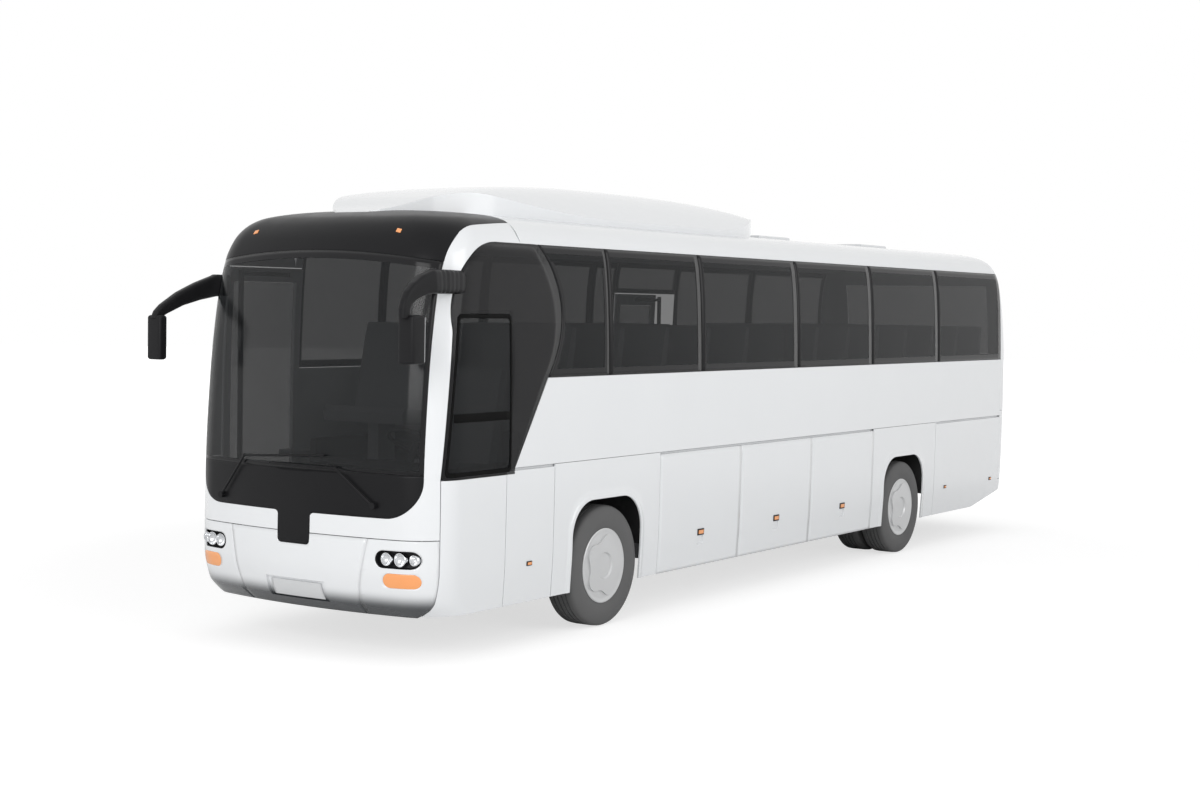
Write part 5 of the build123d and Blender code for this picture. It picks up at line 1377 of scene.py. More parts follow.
    def bumper_corner(self, way: int, word: str) -> None:
        """Build one corner of the bumper, ruled from each lamp's outline to the border round it.

        Args:
            way: 1 for left, -1 for right.
            word: The side's name.
        """
        grids = []
        for pill, low, high in ((LAMPS.head, 0.700, BUMPER_SEAM - GAP), (LAMPS.turn, 0.500, 0.700)):
            level = np.concatenate([
                np.full(16, low), np.linspace(low, high, 14)[1:],
                np.full(15, high), np.linspace(high, low, 14)[1:],
            ])
            near = HULL.turn_at(level, Side.LEFT, y=self.seam(level) + GAP / 2)
            far = HULL.turn_at(level, Side.LEFT, x=np.full(len(level), SKIRT.corner_front + GAP))
            share = np.concatenate([
                np.linspace(0, 1, 16), np.ones(13), np.linspace(1, 0, 16)[1:], np.zeros(13),
            ])
            border = np.stack([near + share * (far - near), level], -1)
            flat = between(border, self.flat(LAMPS.outline(pill)), np.linspace(0, 1, 8))
            grids.append(HULL.wrap(way * flat[..., 0], flat[..., 1], Side.LEFT))
        level = np.concatenate([np.linspace(SKIRT_FOOT, 0.45, 8), np.linspace(0.45, 0.5, 3)[1:]])
        near = HULL.turn_at(level, Side.LEFT, y=self.seam(level) + GAP / 2)
        grids.append(self._corner(way, near, level, 16))
        # Its white paint has painted shade towards the foot, for the shade under the curved-under lip
        Piece(f"bumper_corner_{word}", grids, WHITE_PAINTED_SHADE, replaces=("front_bumper",), wall=SHEET).build()

    def flat(self, outline: Array) -> Array:
        """Turn rows of lateral place and level into rows of place round the nose and level."""
        return np.stack([HULL.turn_at(outline[:, 1], Side.LEFT, y=outline[:, 0]), outline[:, 1]], -1)

    def screen(self) -> None:
        """Build the windscreen up to the brow's arc, with its black border."""
        y = np.linspace(-self.band_y + GAP, self.band_y - GAP, 84)[None]
        share = np.linspace(0, 1, 56)[:, None]
        level = SCREEN_FOOT + share * (self.brow(y) - SCREEN_FOOT)
        made = Piece("windscreen_pane", [HULL.front(y, level)], SCREEN,
                     replaces=("windscreen",), wall=PANE).build()
        beside, below, above = self.screen_border

        def edge(point: Array) -> Array:
            """Tell which of the faces' middles lie in the black border.

            Args:
                point: The middles' three coordinates.

            Returns:
                True for each that does.
            """
            across, level = point[1:]
            high = self.brow(np.clip(across, -self.band_y, self.band_y)) - above
            return (np.abs(across) > self.band_y - beside) | (level < SCREEN_FOOT + below) | (level > high)

        mark_border(made, edge)

    def dome_half(self, x: Array) -> Array:
        """Give half the dome's width, which changes evenly from the screen's to the cap's.

        Args:
            x: The place along the coach.

        Returns:
            Half the width.
        """
        start = float(HULL.front(np.array(self.band_y), np.array(self.dome_start))[0])
        share = np.clip((start - x) / (start - WALLS.cap_seam), 0, 1)
        return self.band_y + share * (self.cap_y - self.band_y)

    def dome(self) -> None:
        """Build the black dome over the screen, in planes along the coach that start at the brow's arc."""
        y = self.band_y * np.sin(np.linspace(-1, 1, 71) * math.pi / 2)[None]
        share = np.linspace(0, 1, 60)[:, None] ** 2
        start = HULL.front(y, self.brow(y) + GAP)[..., 0]
        x = start + share * (WALLS.cap_seam + GAP - start)
        grid = HULL.top(x, y / self.band_y * self.dome_half(x))
        grid[0] = HULL.front(y, self.brow(y) + GAP)[0]
        Piece("dome_skin", [grid], BLACK, replaces=("front_dome",), wall=SHEET, bevel=BEVEL).build()

    def _pillar_edge(self) -> Array:
        """Give the curve between the left pillar and the driver's glass.

        Returns:
            Rows of X and level, from its foot to the roof's cap.
        """
        places = (self.pillar_bend, self.pillar_middle, self.pillar_top)
        start, middle, stop = (np.array(place) for place in places)
        first, second = 2 * (middle - start), 2 * (stop - start)
        cross = first[0] * second[1] - first[1] * second[0]
        tall = np.array([middle @ middle - start @ start, stop @ stop - start @ start])
        centre = np.array([
            second[1] * tall[0] - first[1] * tall[1], first[0] * tall[1] - second[0] * tall[0],
        ]) / cross
        angles = [math.degrees(math.atan2(*(place - centre)[::-1])) for place in (start, stop)]
        radius = float(np.hypot(*(start - centre)))
        last = angles[1] + (360 if angles[1] < angles[0] - 180 else 0)
        return chain(
            line(self.pillar_foot, self.pillar_bend, 30),
            bow(tuple(centre), radius, angles[0], last, 30),
            line(self.pillar_top, (WALLS.cap_seam, GLASS_TOP), 9),
        )

    def _inner_edge(self, way: int) -> Array:
        """Give the pillar's edge along the screen and the dome.

        Args:
            way: 1 for left, -1 for right.

        Returns:
            Rows of the place round the nose and the level.
        """
        level = np.linspace(SCREEN_FOOT if way < 0 else CORNER_TOP, self.dome_start, 46)
        rise = np.stack([HULL.turn_at(level, Side.LEFT, y=np.full(46, self.band_y)), level], -1)
        start = float(HULL.front(np.array(self.band_y), np.array(self.dome_start))[0])
        x = start + (WALLS.cap_seam - start) * np.linspace(0, 1, 23)[1:] ** 0.7
        z = HULL.top(x, self.dome_half(x))[:, 2]
        back = np.stack([HULL.turn_at(z, Side.LEFT, x=x), z], -1)
        return np.concatenate([rise, back])

    def pillars(self) -> None:
        """Build the white bands between the screen and the sides, back to the roof's cap."""
        outer = self._pillar_edge()
        outer = np.stack([HULL.turn_at(outer[:, 1], Side.LEFT, x=outer[:, 0] + GAP), outer[:, 1]], -1)
        seam, head = DOORS.front_front + DOORS.gap, DOORS.front_top + DOORS.gap
        right = line((seam, SCREEN_FOOT), (seam, head), 48)
        right = chain(right, line((seam, head), (WALLS.cap_seam, head), 21))
        right = np.stack([HULL.turn_at(right[:, 1], Side.LEFT, x=right[:, 0]), right[:, 1]], -1)
        for way, edge, word in ((1, outer, "left"), (-1, right, "right")):
            inner = self._inner_edge(way)
            rows = np.linspace(0, 1, 68)
            places = [self._even(row, rows) for row in (inner, edge)]
            flat = between(places[0], places[1], np.linspace(0, 1, 14))
            grids = [HULL.wrap(way * flat[..., 0], flat[..., 1], Side.LEFT)]
            if way < 0:
                rear = DOORS.front_rear - DOORS.gap
                grids.append(side_grid(rear, WALLS.cap_seam, head, GLASS_TOP, Side.RIGHT, 5, 8))
            skin(f"pillar_{word}", grids, "pillar_bands")

    def _even(self, path: Array, shares: Array) -> Array:
        """Give points at shares of the number of steps along a path of places round the nose and levels."""
        steps = np.linspace(0, 1, len(path))
        return np.stack([np.interp(shares, steps, path[:, column]) for column in (0, 1)], -1)

    def _rounded(self, corners: tuple, radius: float, counts: tuple) -> Array:
        """Give an outline of straight runs, joined by a curve at each corner.

        Args:
            corners: The corners, ahead of the front axle and above the ground.
            radius: The corners' radius.
            counts: Points on each straight run.

        Returns:
            The outline's points.
        """
        runs = []
        total = len(corners)
        for place in range(total):
            here, after, beyond = (
                np.array([ahead(corners[(place + step) % total][0]), corners[(place + step) % total][1]])
                for step in (0, 1, 2)
            )
            way = (after - here) / np.hypot(*(after - here))
            on = (beyond - after) / np.hypot(*(beyond - after))
            start, stop = here + way * radius, after - way * radius
            runs.append(line(start, stop, counts[place]))
            share = np.linspace(0, 1, 6)[:, None]
            leave = after + on * radius
            runs.append((1 - share) ** 2 * stop + 2 * share * (1 - share) * after + share ** 2 * leave)
        return chain(*runs)

    def driver_window(self) -> None:
        """Build the dark glass round the driver's window, the window itself and its frame."""
        counts = (12, 30, 12, 30)
        hole = self._rounded(self.window, self.window_round, counts)
        edge = self._pillar_edge()[:60]
        rise = np.linspace(GLASS_TOP, GLASS_FOOT, 24)
        border = chain(
            line((WALLS.slant_foot, CORNER_TOP), self.pillar_foot, 16),
            edge[:59],
            line(tuple(edge[58]), (curve(GLASS_TOP) + GAP, GLASS_TOP), 10),
            np.stack([curve(rise) + GAP, rise], -1),
            line((curve(GLASS_FOOT) + GAP, GLASS_FOOT), (WALLS.slant_foot, WAIST), 20),
            line((WALLS.slant_foot, WAIST), (WALLS.slant_foot, CORNER_TOP), 4),
        )
        angle = [self._bearing(rows) for rows in (border, hole)]
        even = np.linspace(-math.pi, math.pi, 181)[:-1]
        rings = [self._by_bearing(rows, bearing, even) for rows, bearing in zip((border, hole), angle)]
        band = self._ringed(rings[0], rings[1], np.linspace(0, 1, 12) ** 0.8)
        Piece("driver_glass_band", [band], SURROUND, replaces=("driver_surround",), wall=PANE).build()
        centre = np.array([self.window_middle])
        inner = rings[1] + (centre - rings[1]) * self.window_gap
        pane = self._ringed(inner, centre + 0 * inner, np.linspace(0, 1, 9))
        Piece("driver_window_pane", [pane], GLASS, replaces=("window_panes",), wall=PANE).build()
        inner = rings[1] + (centre - rings[1]) * self.window_seal
        grid = self._ringed(rings[1], inner, np.linspace(0, 1, 4))
        grid[..., 1] += self.seal_rise
        Piece("driver_window_seal_outer", [grid], SEAL, wall=LENS_WALL).build()
        bar = side_grid(*self.window_bar_span, *self.window_bar, Side.LEFT, 12, 3)
        bar[..., 1] += self.seal_rise
        Piece("driver_window_bar", [bar], SEAL, wall=self.bar_wall).build()

    def _ringed(self, first: Array, second: Array, shares: Array) -> Array:
        """Give closed rings on the left side, at shares of the way from one outline to the other.

        Args:
            first: The one outline, as rows of X and level.
            second: The other.
            shares: The shares.

        Returns:
            The rings' points.
        """
        flat = between(first, second, shares)
        flat = np.concatenate([flat, flat[:, :1]], axis=1)
        return HULL.side(flat[..., 0], flat[..., 1], Side.LEFT)

    def _bearing(self, rows: Array) -> Array:
        """Give each point's bearing from the middle of the driver's window."""
        return np.arctan2(rows[:, 1] - self.window_middle[1], rows[:, 0] - self.window_middle[0])

    def _by_bearing(self, rows: Array, bearing: Array, even: Array) -> Array:
        """Give an outline's points at even bearings.

        Args:
            rows: The outline.
            bearing: The bearing of each of its points.
            even: The bearings asked for.

        Returns:
            The points there.
        """
        order = np.argsort(bearing)
        bearing, rows = bearing[order], rows[order]
        turn = 2 * math.pi
        return np.stack([np.interp(even, bearing, rows[:, column], period=turn) for column in (0, 1)], -1)

    def build(self) -> None:
        """Build the front."""
        self.bumper()
        for way, word in ((1, "left"), (-1, "right")):
            self.bumper_corner(way, word)
        self.panel()
        self.mask()
        self.screen()
        self.dome()
        self.pillars()
        self.driver_window()


@dataclass(frozen=True)
class Lamps:
    """The front lamps in their pill-shaped openings, and the small lamps on the dome."""

    head: tuple = (0.780, 1.138, 0.7245, 0.8595)
    turn: tuple = (0.846, 1.136, 0.5755, 0.6885)
    rings: tuple = ((0.866, 0.051), (0.980, 0.054), (1.082, 0.042))
    level: float = 0.792
    ring_sunk: float = 0.012
    # Columns: how far in from the ring's radius, and place along its axis
    ring_steps: tuple = (
        (0.0, -0.036), (0.0, -0.003), (0.002, 0.0), (0.006, 0.0), (0.008, -0.003), (0.009, -0.010),
    )
    glass_back: float = 0.006
    glass_rise: float = 0.012
    # Columns: how far in towards the middle line, as a share, and how deep
    bowl_steps: tuple = ((0.0, 0.002), (0.02, 0.020), (0.12, 0.045), (0.6, 0.055), (1.0, 0.055))
    lens_steps: tuple = ((0.0, 0.006), (0.02, 0.001), (0.10, -0.001), (0.5, -0.002), (1.0, -0.002))
    dome_x: float = ahead(2.165)
    dome_y: float = 0.745
    dome_half: tuple = (0.011, 0.022)
    dome_rise: float = 0.008
    dome_wall: float = 0.010

    def outline(self, pill: tuple) -> Array:
        """Give a pill's outline.

        Args:
            pill: Its inner and outer ends and its lower and upper edges.

        Returns:
            Its lower side outwards, its outer end, its upper side back and its inner end.
        """
        inner, outer, low, high = pill
        radius, middle = (high - low) / 2, (low + high) / 2
        return chain(
            line((inner + radius, low), (outer - radius, low), 16),
            bow((outer - radius, middle), radius, -90, 90, 14),
            line((outer - radius, high), (inner + radius, high), 16),
            bow((inner + radius, middle), radius, 90, 270, 14),
        )

    def _sunk(self, pill: tuple, steps: tuple, way: int) -> Array:
        """Give a pill's rings, each drawn in towards its middle line and let in from the nose.

        Args:
            pill: The pill.
            steps: Rows of the share drawn in and the depth.
            way: 1 for left, -1 for right.

        Returns:
            The rings' points.
        """
        outline = self.outline(pill)
        radius, middle = (pill[3] - pill[2]) / 2, (pill[2] + pill[3]) / 2
        core = np.clip(outline[:, 0], pill[0] + radius, pill[1] - radius)
        core = np.stack([core, 0 * outline[:, 1] + middle], -1)
        rows = []
        for share, depth in steps:
            flat = outline + share * (core - outline)
            point = HULL.front(flat[:, 0], flat[:, 1])
            point[:, 0] -= depth
            point[:, 1] *= way
            rows.append(point)
        return np.stack(rows)

    def build(self) -> None:
        """Build the bowls, the rings with their reflectors and glass, the turn lamps and the dome's lamps."""
        for way, word in ((1, "left"), (-1, "right")):
            bowl = self._sunk(self.head, self.bowl_steps, way)
            Piece(f"lamp_bowl_{word}", [bowl], PLASTIC, replaces=("headlamps",), wall=THIN).build()
            for count, (y, radius) in enumerate(self.rings):
                x = float(HULL.front(np.array(y), np.array(self.level))[0]) - self.ring_sunk
                centre = (x, way * y, self.level)
                ring = [(radius - inset, along) for inset, along in self.ring_steps]
                back, (mouth, lip) = ring[0][1], ring[-1]
                mirror = [(r, back + (lip - back) * (r / mouth) ** 2) for r in np.linspace(mouth, 0.0, 8)]
                edge = np.linspace(ring[-2][0], 0.0, 8)
                glass = [(r, self.glass_rise * math.cos(r / radius * math.pi / 2) - self.glass_back)
                         for r in edge]
                Piece(f"lamp_ring_{word}_{count + 1}", [spin(ring + mirror[1:], centre, False, 48)], CHROME,
                      loop=True).build()
                Piece(f"lamp_glass_{word}_{count + 1}", [spin(glass, centre, False, 48)], LENS,
                      loop=True).build()
            lens = self._sunk(self.turn, self.lens_steps, way)
            Piece(f"turn_lamp_{word}", [lens], ORANGE, replaces=("turn_lamps",), wall=LENS_WALL).build()
            long, wide = self.dome_half
            x = np.linspace(self.dome_x - long, self.dome_x + long, 6)[None]
            y = way * self.dome_y + np.linspace(-wide, wide, 8)[:, None]
            base = HULL.top(x, y)
            base[..., 2] += self.dome_rise
            Piece(f"dome_lamp_{word}", [base], ORANGE, replaces=("turn_lamps",),
                  wall=self.dome_wall, bevel=BEVEL).build()


LAMPS = Lamps()


@dataclass(frozen=True)
class Marks:
    """The side marker lamps in their black frames, and the rails behind the gap above the flaps."""

    half: float = 0.055
    foot: float = 0.628
    top: float = 0.688
    pull_foot: float = 0.545
    pull_top: float = 0.622
    pull_depth: float = 0.012
    pull_half: float = 0.052
    pull_wall: float = 0.004
    engine_places: tuple = (ahead(-7.259), ahead(-8.670))
    service_place: float = ahead(1.128)
    small_share: float = 0.62
    # Columns: name, finish, inset, rise and wall
    layers: tuple = (("frame", PLASTIC, 0.0, 0.008, 0.012), ("lens", ORANGE, 0.012, 0.011, 0.008))
    rails: tuple = ((-9.00, -6.20), (-5.30, -0.85), (0.75, 1.35))
    rail_height: float = 0.040
    rail_back: float = 0.024

    def mark(self, name: str, body: str, x: float, side: Side, scale: float = 1.0) -> None:
        """Build a black frame on the flap and a ribbed orange lens in it.

        Args:
            name: Its name.
            body: The body that it rides on.
            x: Its place along the coach.
            side: Its side.
            scale: Its size as a share of the luggage flaps' markers.
        """
        middle, rise_half = (self.foot + self.top) / 2, (self.top - self.foot) / 2 * scale
        for part, finish, inset, rise, wall in self.layers:
            z0, z1 = middle - rise_half + inset * scale, middle + rise_half - inset * scale
            half = (self.half - inset) * scale
            grid = side_grid(x - half, x + half, z0, z1, side, 6, 5)
            grid[..., 1] += side.value * rise
            Piece(f"marker_{part}_{name}", [grid], finish, body, wall=wall, bevel=BEVEL).build()

    def rail(self, side: Side) -> None:
        """Build the white rails behind the gap above the flaps of one side.

        Args:
            side: The side.
        """
        for count, (rear, front) in enumerate(self.rails):
            grid = side_grid(ahead(rear), ahead(front), WAIST - self.rail_height, WAIST + THIN, side, 40, 3)
            grid[..., 1] -= side.value * self.rail_back
            Piece(f"waist_rail_{side.name.lower()}_{count + 1}", [grid], WHITE, wall=THIN).build()

    def build(self) -> None:
        """Build every rail and marker."""
        for side in Side:
            self.rail(side)
        for side in Side:
            word = side.name.lower()
            for count in range(3 if side is Side.LEFT else 2):
                self.mark(f"luggage_{word}_{count + 1}", f"luggage_flap_{word}_{count + 1}",
                          SKIRT.luggage_seam(count + 0.5), side)
            for count, place in enumerate(self.engine_places):
                self.mark(f"engine_{word}_{count + 1}", f"engine_flap_{word}", place, side, self.small_share)
        self.mark("service_left", "service_flap_left", self.service_place, Side.LEFT, self.small_share)


MARKS = Marks()


@dataclass(frozen=True)
class Mirrors:
    """The two hanging mirrors on their bent arms, with ribbed bellows at the roots."""

    tip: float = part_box("mirrors")[1].x
    spread: float = 1.285
    length: float = 0.805
    fall: float = 0.250
    height: float = 0.176
    head_width: float = 0.150
    head_height: float = 0.356
    head_round: float = 0.022
    glass_inset: tuple = (0.003, 0.012, 0.016)
    # Columns: place along the arm as a share of its length, spread as a share of the heads' spread,
    # fall as a share of the arm's fall, pitch in degrees, then width and height as shares of its height
    left_shares: tuple = (
        (0.000, 0.934, 0.00, 0, 0.57, 0.97),
        (0.280, 0.968, 0.00, 2, 0.59, 0.99),
        (0.559, 1.000, 0.01, 8, 0.60, 1.00),
        (0.680, 1.000, 0.11, 22, 0.54, 0.88),
        (0.795, 1.000, 0.28, 33, 0.48, 0.74),
        (0.870, 1.000, 0.45, 44, 0.42, 0.62),
        (0.913, 1.000, 0.62, 62, 0.38, 0.52),
        (0.938, 1.000, 0.82, 80, 0.36, 0.48),
        (0.940, 1.000, 1.09, 90, 0.34, 0.45),
    )
    right_shares: tuple = (
        (0.081, 0.926, 0.00, 0, 0.51, 0.95),
        (0.186, 0.961, 0.01, 8, 0.57, 1.00),
        (0.400, 0.990, 0.22, 20, 0.51, 0.84),
        (0.621, 1.000, 0.47, 24, 0.45, 0.68),
        (0.832, 1.000, 0.80, 38, 0.38, 0.54),
        (0.900, 1.000, 0.95, 60, 0.36, 0.48),
        (0.930, 1.000, 1.12, 82, 0.34, 0.45),
    )
    # Columns: side, root's level, arm's table, bellows' end, head's place behind the tip, head's depth
    rows: tuple = (
        (Side.LEFT, 2.882, left_shares, 0.50, 0.060, 0.150),
        (Side.RIGHT, 2.840, right_shares, 0.20, 0.030, 0.080),
    )
    rib_height: float = 0.035
    rib_count: float = 28.0

    def arm(self, side: Side, level: float, shares: tuple, ribs: float) -> Array:
        """Give an arm's rings along its middle line, with ripples where its bellows are.

        Args:
            side: Its side.
            level: The level of its root.
            shares: Its table.
            ribs: Where the bellows stop, as a share.

        Returns:
            The rings' points.
        """
        table = np.array(shares)
        step = np.linspace(0, len(table) - 1, 90)
        along, spread, fall, pitch, width, height = (
            np.interp(step, np.arange(len(table)), table[:, column]) for column in range(6)
        )
        wave = np.sign(np.sin(along * 2 * math.pi * self.rib_count))
        ripple = 1 + np.where(along < ribs, self.rib_height * wave, 0.0)
        across, up = ring_outline(width * self.height / 2 * ripple, height * self.height / 2 * ripple, 0.55)
        turn = np.radians(pitch)[:, None]
        x = (self.tip - (1 - along) * self.length)[:, None] + up * np.sin(turn)
        y = (side.value * spread * self.spread)[:, None] + across
        z = (level - fall * self.fall)[:, None] + up * np.cos(turn)
        return np.stack([x, y, z], -1)

    def build(self) -> None:
        """Build both arms, their heads and the glass on the back of each head."""
        for side, level, shares, ribs, back, depth in self.rows:
            word = side.name.lower()
            Piece(f"mirror_arm_{word}", [self.arm(side, level, shares, ribs)], PLASTIC, replaces=("mirrors",),
                  loop=True, sharp=30.0).build()
            top, middle = level - self.fall, side.value * self.spread
            low = (self.tip - back - depth, middle - self.head_width / 2, top - self.head_height)
            high = (self.tip - back, middle + self.head_width / 2, top)
            Piece(f"mirror_head_{word}", [block(low, high, self.head_round, 0.32)], PLASTIC,
                  replaces=("mirrors",), loop=True, sharp=60.0).build()
            rise, beside, above = self.glass_inset
            low = (low[0] - rise, low[1] + beside, low[2] + above)
            high = (low[0] + 2 * rise, high[1] - beside, high[2] - above)
            Piece(f"mirror_glass_{word}", [block(low, high, 0.001, 0.3)], CHROME, loop=True).build()


@dataclass(frozen=True)
class RoofGear:
    """The rounded air-conditioning pod on the roof."""

    half: float = 0.900
    foot: float = 3.400
    crown: float = 3.825
    crown_radius: float = 1.332
    round: float = 0.060
    front_round: float = 2.600
    rear_round: float = 1.600
    round_power: float = 2.2
    tip_share: float = 0.04
    # Rows: metres ahead of the front axle, top above the ground
    profile: tuple = (
        (1.880, 3.430), (1.700, 3.490), (1.455, 3.580), (1.000, 3.670), (0.190, 3.750), (-1.030, 3.812),
        (-1.900, 3.818), (-2.420, 3.805), (-3.190, 3.730), (-3.600, 3.640), (-3.880, 3.540), (-3.980, 3.430),
    )

    def build(self) -> None:
        """Build the pod: the lower of its side profile and its crowned section, rounded where the two meet.

        The smooth minimum is half of the sum less the root of the squared difference and a squared radius.
        Seen from above, each end narrows to its tip by the root of 1 less a power.
        """
        table = np.array(self.profile)[::-1]
        turn = np.linspace(0, math.pi, 72)[:, None]
        x = ahead(table[0, 0]) + (table[-1, 0] - table[0, 0]) * (1 - np.cos(turn)) / 2
        beyond = np.maximum(1 - (x[-1] - x) / self.front_round, 1 - (x - x[0]) / self.rear_round)
        slim = np.sqrt(np.clip(1 - np.clip(beyond, 0, 1) ** self.round_power, self.tip_share, 1))
        y = self.half * slim * np.sin(np.linspace(-math.pi / 2, math.pi / 2, 49))[None]
        long = monotone(ahead(table[:, 0]), table[:, 1], x[:, 0])[:, None]
        across = self.crown - self.crown_radius + np.sqrt(self.crown_radius ** 2 - y ** 2)
        top = (long + across - np.sqrt((long - across) ** 2 + self.round ** 2)) / 2
        rim = [np.full((1, 49), self.foot), top, np.full((1, 49), self.foot)]
        z = np.concatenate(rim)
        x, y = (np.concatenate([place[:1], place, place[-1:]]) + 0 * z for place in (x, y))
        grid = np.stack([x, y, z], -1)
        sides = [grid[:, :1].copy(), grid[:, -1:].copy()]
        for side in sides:
            side[..., 2] = self.foot
        Piece("air_pod", [np.concatenate([sides[0], grid, sides[1]], axis=1)], WHITE,
              replaces=("air_conditioner",)).build()


@dataclass(frozen=True)
class Tyres:
    """The tyres, with grooves round their treads."""

    radius: float = WHEEL_RADIUS
    half: float = 0.1475
    seat: float = 0.286
    # Columns: radius as a share of the way from bead to tread, half width as a share of the tyre's half width
    wall_shares: tuple = (
        (0.00, 0.78), (0.07, 0.79), (0.12, 0.83), (0.17, 0.865), (0.25, 0.92), (0.34, 0.96), (0.43, 0.985),
        (0.52, 1.00), (0.61, 0.995), (0.70, 0.98), (0.78, 0.955), (0.86, 0.92), (0.92, 0.88), (0.96, 0.82),
        (0.985, 0.74),
    )
    groove_shares: tuple = (-0.44, -0.15, 0.15, 0.44)
    groove_lip_share: float = 0.045
    groove_floor_share: float = 0.035
    groove_depth: float = 0.012

    def profile(self) -> list:
        """Give the tyre's section.

        Returns:
            Rows of radius and place across, from one bead over the tread to the other.
        """
        tall = self.radius - self.seat
        wall = [(self.seat + rise * tall, width * self.half) for rise, width in self.wall_shares]
        lip, floor, deep = self.groove_lip_share, self.groove_floor_share, self.groove_depth
        tread = []
        for place in sorted(self.groove_shares, reverse=True):
            for off, depth in ((lip, 0.0), (floor, deep), (-floor, deep), (-lip, 0.0)):
                tread.append((self.radius - depth, (place + off) * self.half))
        return wall + tread + [(radius, -across) for radius, across in wall[::-1]]

    def build(self) -> None:
        """Build every tyre."""
        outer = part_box("front_tyre_left")[1].y - self.half
        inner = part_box("rear_tyres_left")[0].y + self.half
        for side in Side:
            word = side.name.lower()
            rows = (("front", FRONT_AXLE, outer, f"front_wheel_{word}", f"front_tyre_{word}"),
                    ("rear_outer", REAR_AXLE, outer, f"rear_wheels_{word}", f"rear_tyres_{word}"),
                    ("rear_inner", REAR_AXLE, inner, f"rear_wheels_{word}", f"rear_tyres_{word}"))
            for name, x, y, body, node in rows:
                centre = (x, side.value * y, self.radius)
                Piece(f"tyre_{name}_{word}", [spin(self.profile(), centre, True, 112)], TYRE, body, (node,),
                      loop=True, sharp=50.0).build()


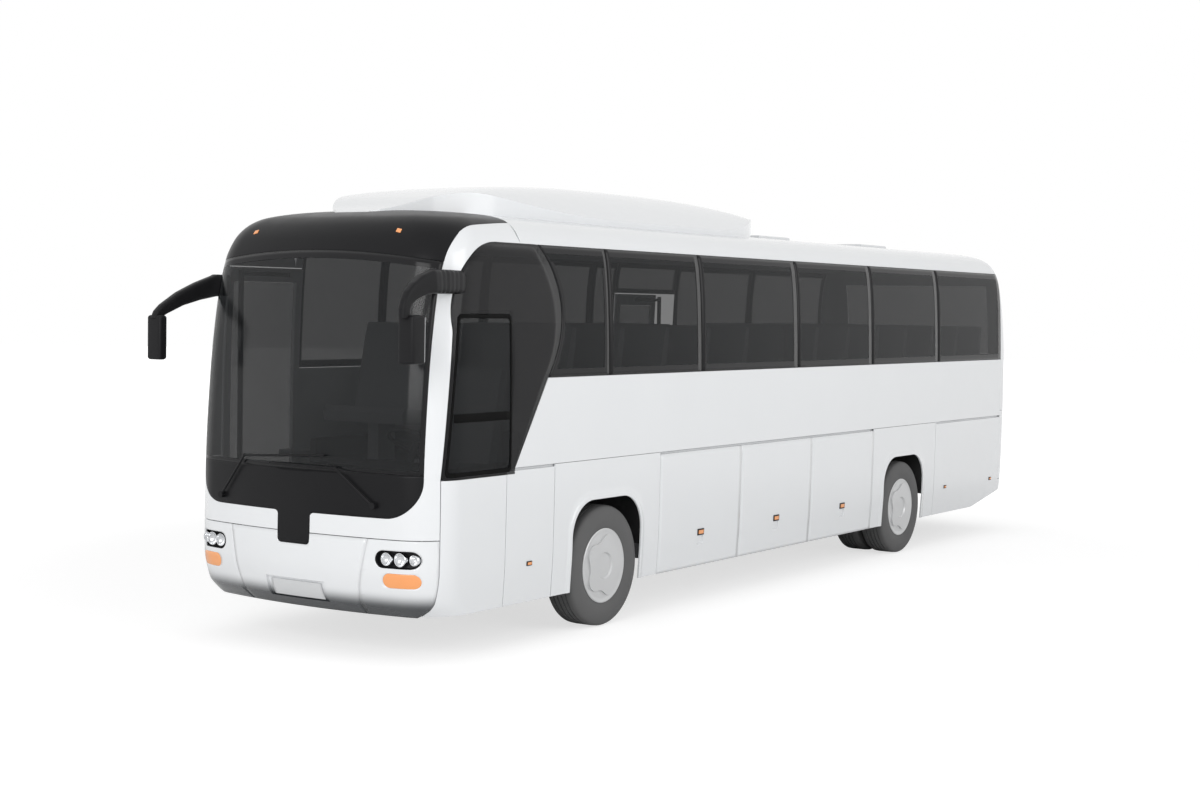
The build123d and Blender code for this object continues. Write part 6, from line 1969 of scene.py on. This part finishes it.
@dataclass(frozen=True)
class Studio:
    """The plain pale floor, the soft light and the camera at the photograph's angle."""

    eye: tuple = (ahead(12.8844), 9.7204, 2.7166)
    yaw: float = 33.57
    pitch: float = 2.5
    roll: float = 0.96
    focal_pixels: float = 1821.3
    middle_row: float = 386.05
    image: tuple = (1200, 800)
    sensor: float = 36.0
    world_level: float = 0.62
    shadow_lift: float = 0.50
    paper: tuple = (0.93, 0.93, 0.93)
    paper_level: float = 1.34
    fade_near: float = 5.5
    fade_far: float = 13.0
    floor_radii: tuple = (0.0, 8.0, 16.0, 30.0, 90.0)
    aim: tuple = (0.0, 0.0, 1.2)
    # Columns: name, place, side in metres, power in watts
    lamps: tuple = (
        ("lamp_front", (15.0, 3.5, 5.5), 6.0, 470.0),
        ("lamp_side", (2.0, 14.0, 7.0), 8.0, 420.0),
    )

    def camera(self) -> None:
        """Set the camera where the photograph was taken from."""
        yaw, pitch, roll = (math.radians(value) for value in (self.yaw, self.pitch, self.roll))
        look = Vector((-math.cos(yaw) * math.cos(pitch), -math.sin(yaw) * math.cos(pitch), -math.sin(pitch)))
        right = look.cross(Vector((0, 0, 1))).normalized()
        up = right.cross(look)
        across = math.cos(roll) * right + math.sin(roll) * up
        rise = math.cos(roll) * up - math.sin(roll) * right
        data = bpy.data.cameras.new("camera")
        data.sensor_width = self.sensor
        data.lens = self.focal_pixels / self.image[0] * self.sensor
        data.shift_y = (self.middle_row - self.image[1] / 2) / self.image[0]
        data.clip_end = 200.0
        camera = bpy.data.objects.new("camera", data)
        turned = Matrix((across, rise, -look)).transposed().to_4x4()
        camera.matrix_world = Matrix.Translation(self.eye) @ turned
        bpy.context.scene.collection.objects.link(camera)
        bpy.context.scene.camera = camera

    def world(self) -> None:
        """Light the coach from all round, with white behind it."""
        world = bpy.data.worlds.new("studio")
        bpy.context.scene.world = world
        world.use_nodes = True
        tree = world.node_tree
        back = tree.nodes["Background"]
        back.inputs["Color"].default_value = (1.0, 1.0, 1.0, 1.0)
        path = tree.nodes.new("ShaderNodeLightPath").outputs
        seen = larger(tree, path["Is Camera Ray"], path["Is Glossy Ray"])
        level = add_node(tree, "MapRange", {
            "Value": larger(tree, seen, path["Is Transmission Ray"]),
            "To Min": self.world_level, "To Max": 1.0,
        })
        tree.links.new(level.outputs["Result"], back.inputs["Strength"])

    def lamp(self, name: str, place: tuple, size: float, power: float) -> None:
        """Hang one soft square lamp that points at the coach's middle.

        Args:
            name: Its name.
            place: Where it hangs.
            size: Its side.
            power: Its power in watts.
        """
        data = bpy.data.lights.new(name, "AREA")
        data.size = size
        data.energy = power
        lamp = bpy.data.objects.new(name, data)
        lamp.location = place
        lamp.rotation_euler = (Vector(self.aim) - Vector(place)).to_track_quat("-Z", "Y").to_euler()
        bpy.context.scene.collection.objects.link(lamp)

    def floor(self) -> None:
        """Lay the floor: white paper near the coach that turns into the white background further off."""
        angle = np.linspace(0, 2 * math.pi, 97)[None, :-1]
        radius = np.array(self.floor_radii)[:, None]
        grid = np.stack([radius * np.cos(angle), radius * np.sin(angle), 0 * radius * angle - 0.001], -1)
        points, faces = weld([grid], True)
        mesh = bpy.data.meshes.new("floor_sheet")
        mesh.from_pydata(points, [], faces)
        made = bpy.data.objects.new("floor_sheet", mesh)
        bpy.context.scene.collection.objects.link(made)
        material = bpy.data.materials.new("studio paper")
        material.use_nodes = True
        tree = material.node_tree
        shader = tree.nodes["Principled BSDF"]
        shader.inputs["Base Color"].default_value = (*self.paper, 1.0)
        shader.inputs["Roughness"].default_value = 0.9
        shader.inputs["Specular IOR Level"].default_value = 0.0
        place = tree.nodes.new("ShaderNodeTexCoord").outputs["Object"]
        seen = tree.nodes.new("ShaderNodeLightPath").outputs["Is Camera Ray"]
        lift = add_node(tree, "Math", {0: seen, 1: self.shadow_lift}, operation="MULTIPLY").outputs["Value"]
        share = add_node(tree, "MapRange", {
            "Value": add_node(tree, "VectorMath", {0: place}, operation="LENGTH").outputs["Value"],
            "From Min": self.fade_near, "From Max": self.fade_far, "To Min": lift,
        }, interpolation_type="SMOOTHSTEP")
        paper = add_node(tree, "MapRange", {"Value": seen, "To Min": 1.0, "To Max": self.paper_level})
        glow = add_node(tree, "Emission", {"Strength": paper.outputs["Result"]})
        blend = add_node(tree, "MixShader", {
            0: share.outputs["Result"], 1: shader.outputs["BSDF"], 2: glow.outputs["Emission"],
        })
        tree.links.new(blend.outputs["Shader"], tree.nodes["Material Output"].inputs["Surface"])
        mesh.materials.append(material)

    def build(self) -> None:
        """Set up the whole studio."""
        bpy.context.scene.view_settings.view_transform = "Standard"
        self.camera()
        self.world()
        self.floor()
        for name, place, size, power in self.lamps:
            self.lamp(name, place, size, power)


NODE_FINISHES = {
    CASTING: ("front_axle", "rear_axle", "knuckle_left", "knuckle_right", "tie_rod", "engine"),
    FRAME_PAINT: ("frames", "wheelhouses", "front_door_arm", "middle_door_arm"),
    RUBBER: ("air_springs",),
    COVERING: ("floor", "steps"),
    TRIM: ("luggage_hold",),
    DASH: ("dashboard", "steering_wheel"),
    CLOTH: ("seats", "driver_seat"),
    SILVER: ("front_rim_left", "front_rim_right", "rear_rims_left", "rear_rims_right"),
    PLASTIC: ("wipers",),
    WHITE: ("roof_hatches",),
}


def dress_nodes() -> None:
    """Give each CAD node that shows its finish."""
    for finish, names in NODE_FINISHES.items():
        for name in names:
            node = frame["nodes"][name]
            node.data.materials.clear()
            node.data.materials.append(finish.material())


def main() -> None:
    """Build the coach's looks."""
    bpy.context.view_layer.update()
    parts = (SKIRT, DOORS, WALLS, Glazing(), Face(), LAMPS, MARKS, Mirrors(), RoofGear(), Tyres(), Studio())
    for part in parts:
        part.build()
        LOG.info("%s is built", type(part).__name__)
    dress_nodes()


if __name__ == "__main__":
    logging.basicConfig(level=logging.INFO)
    main()
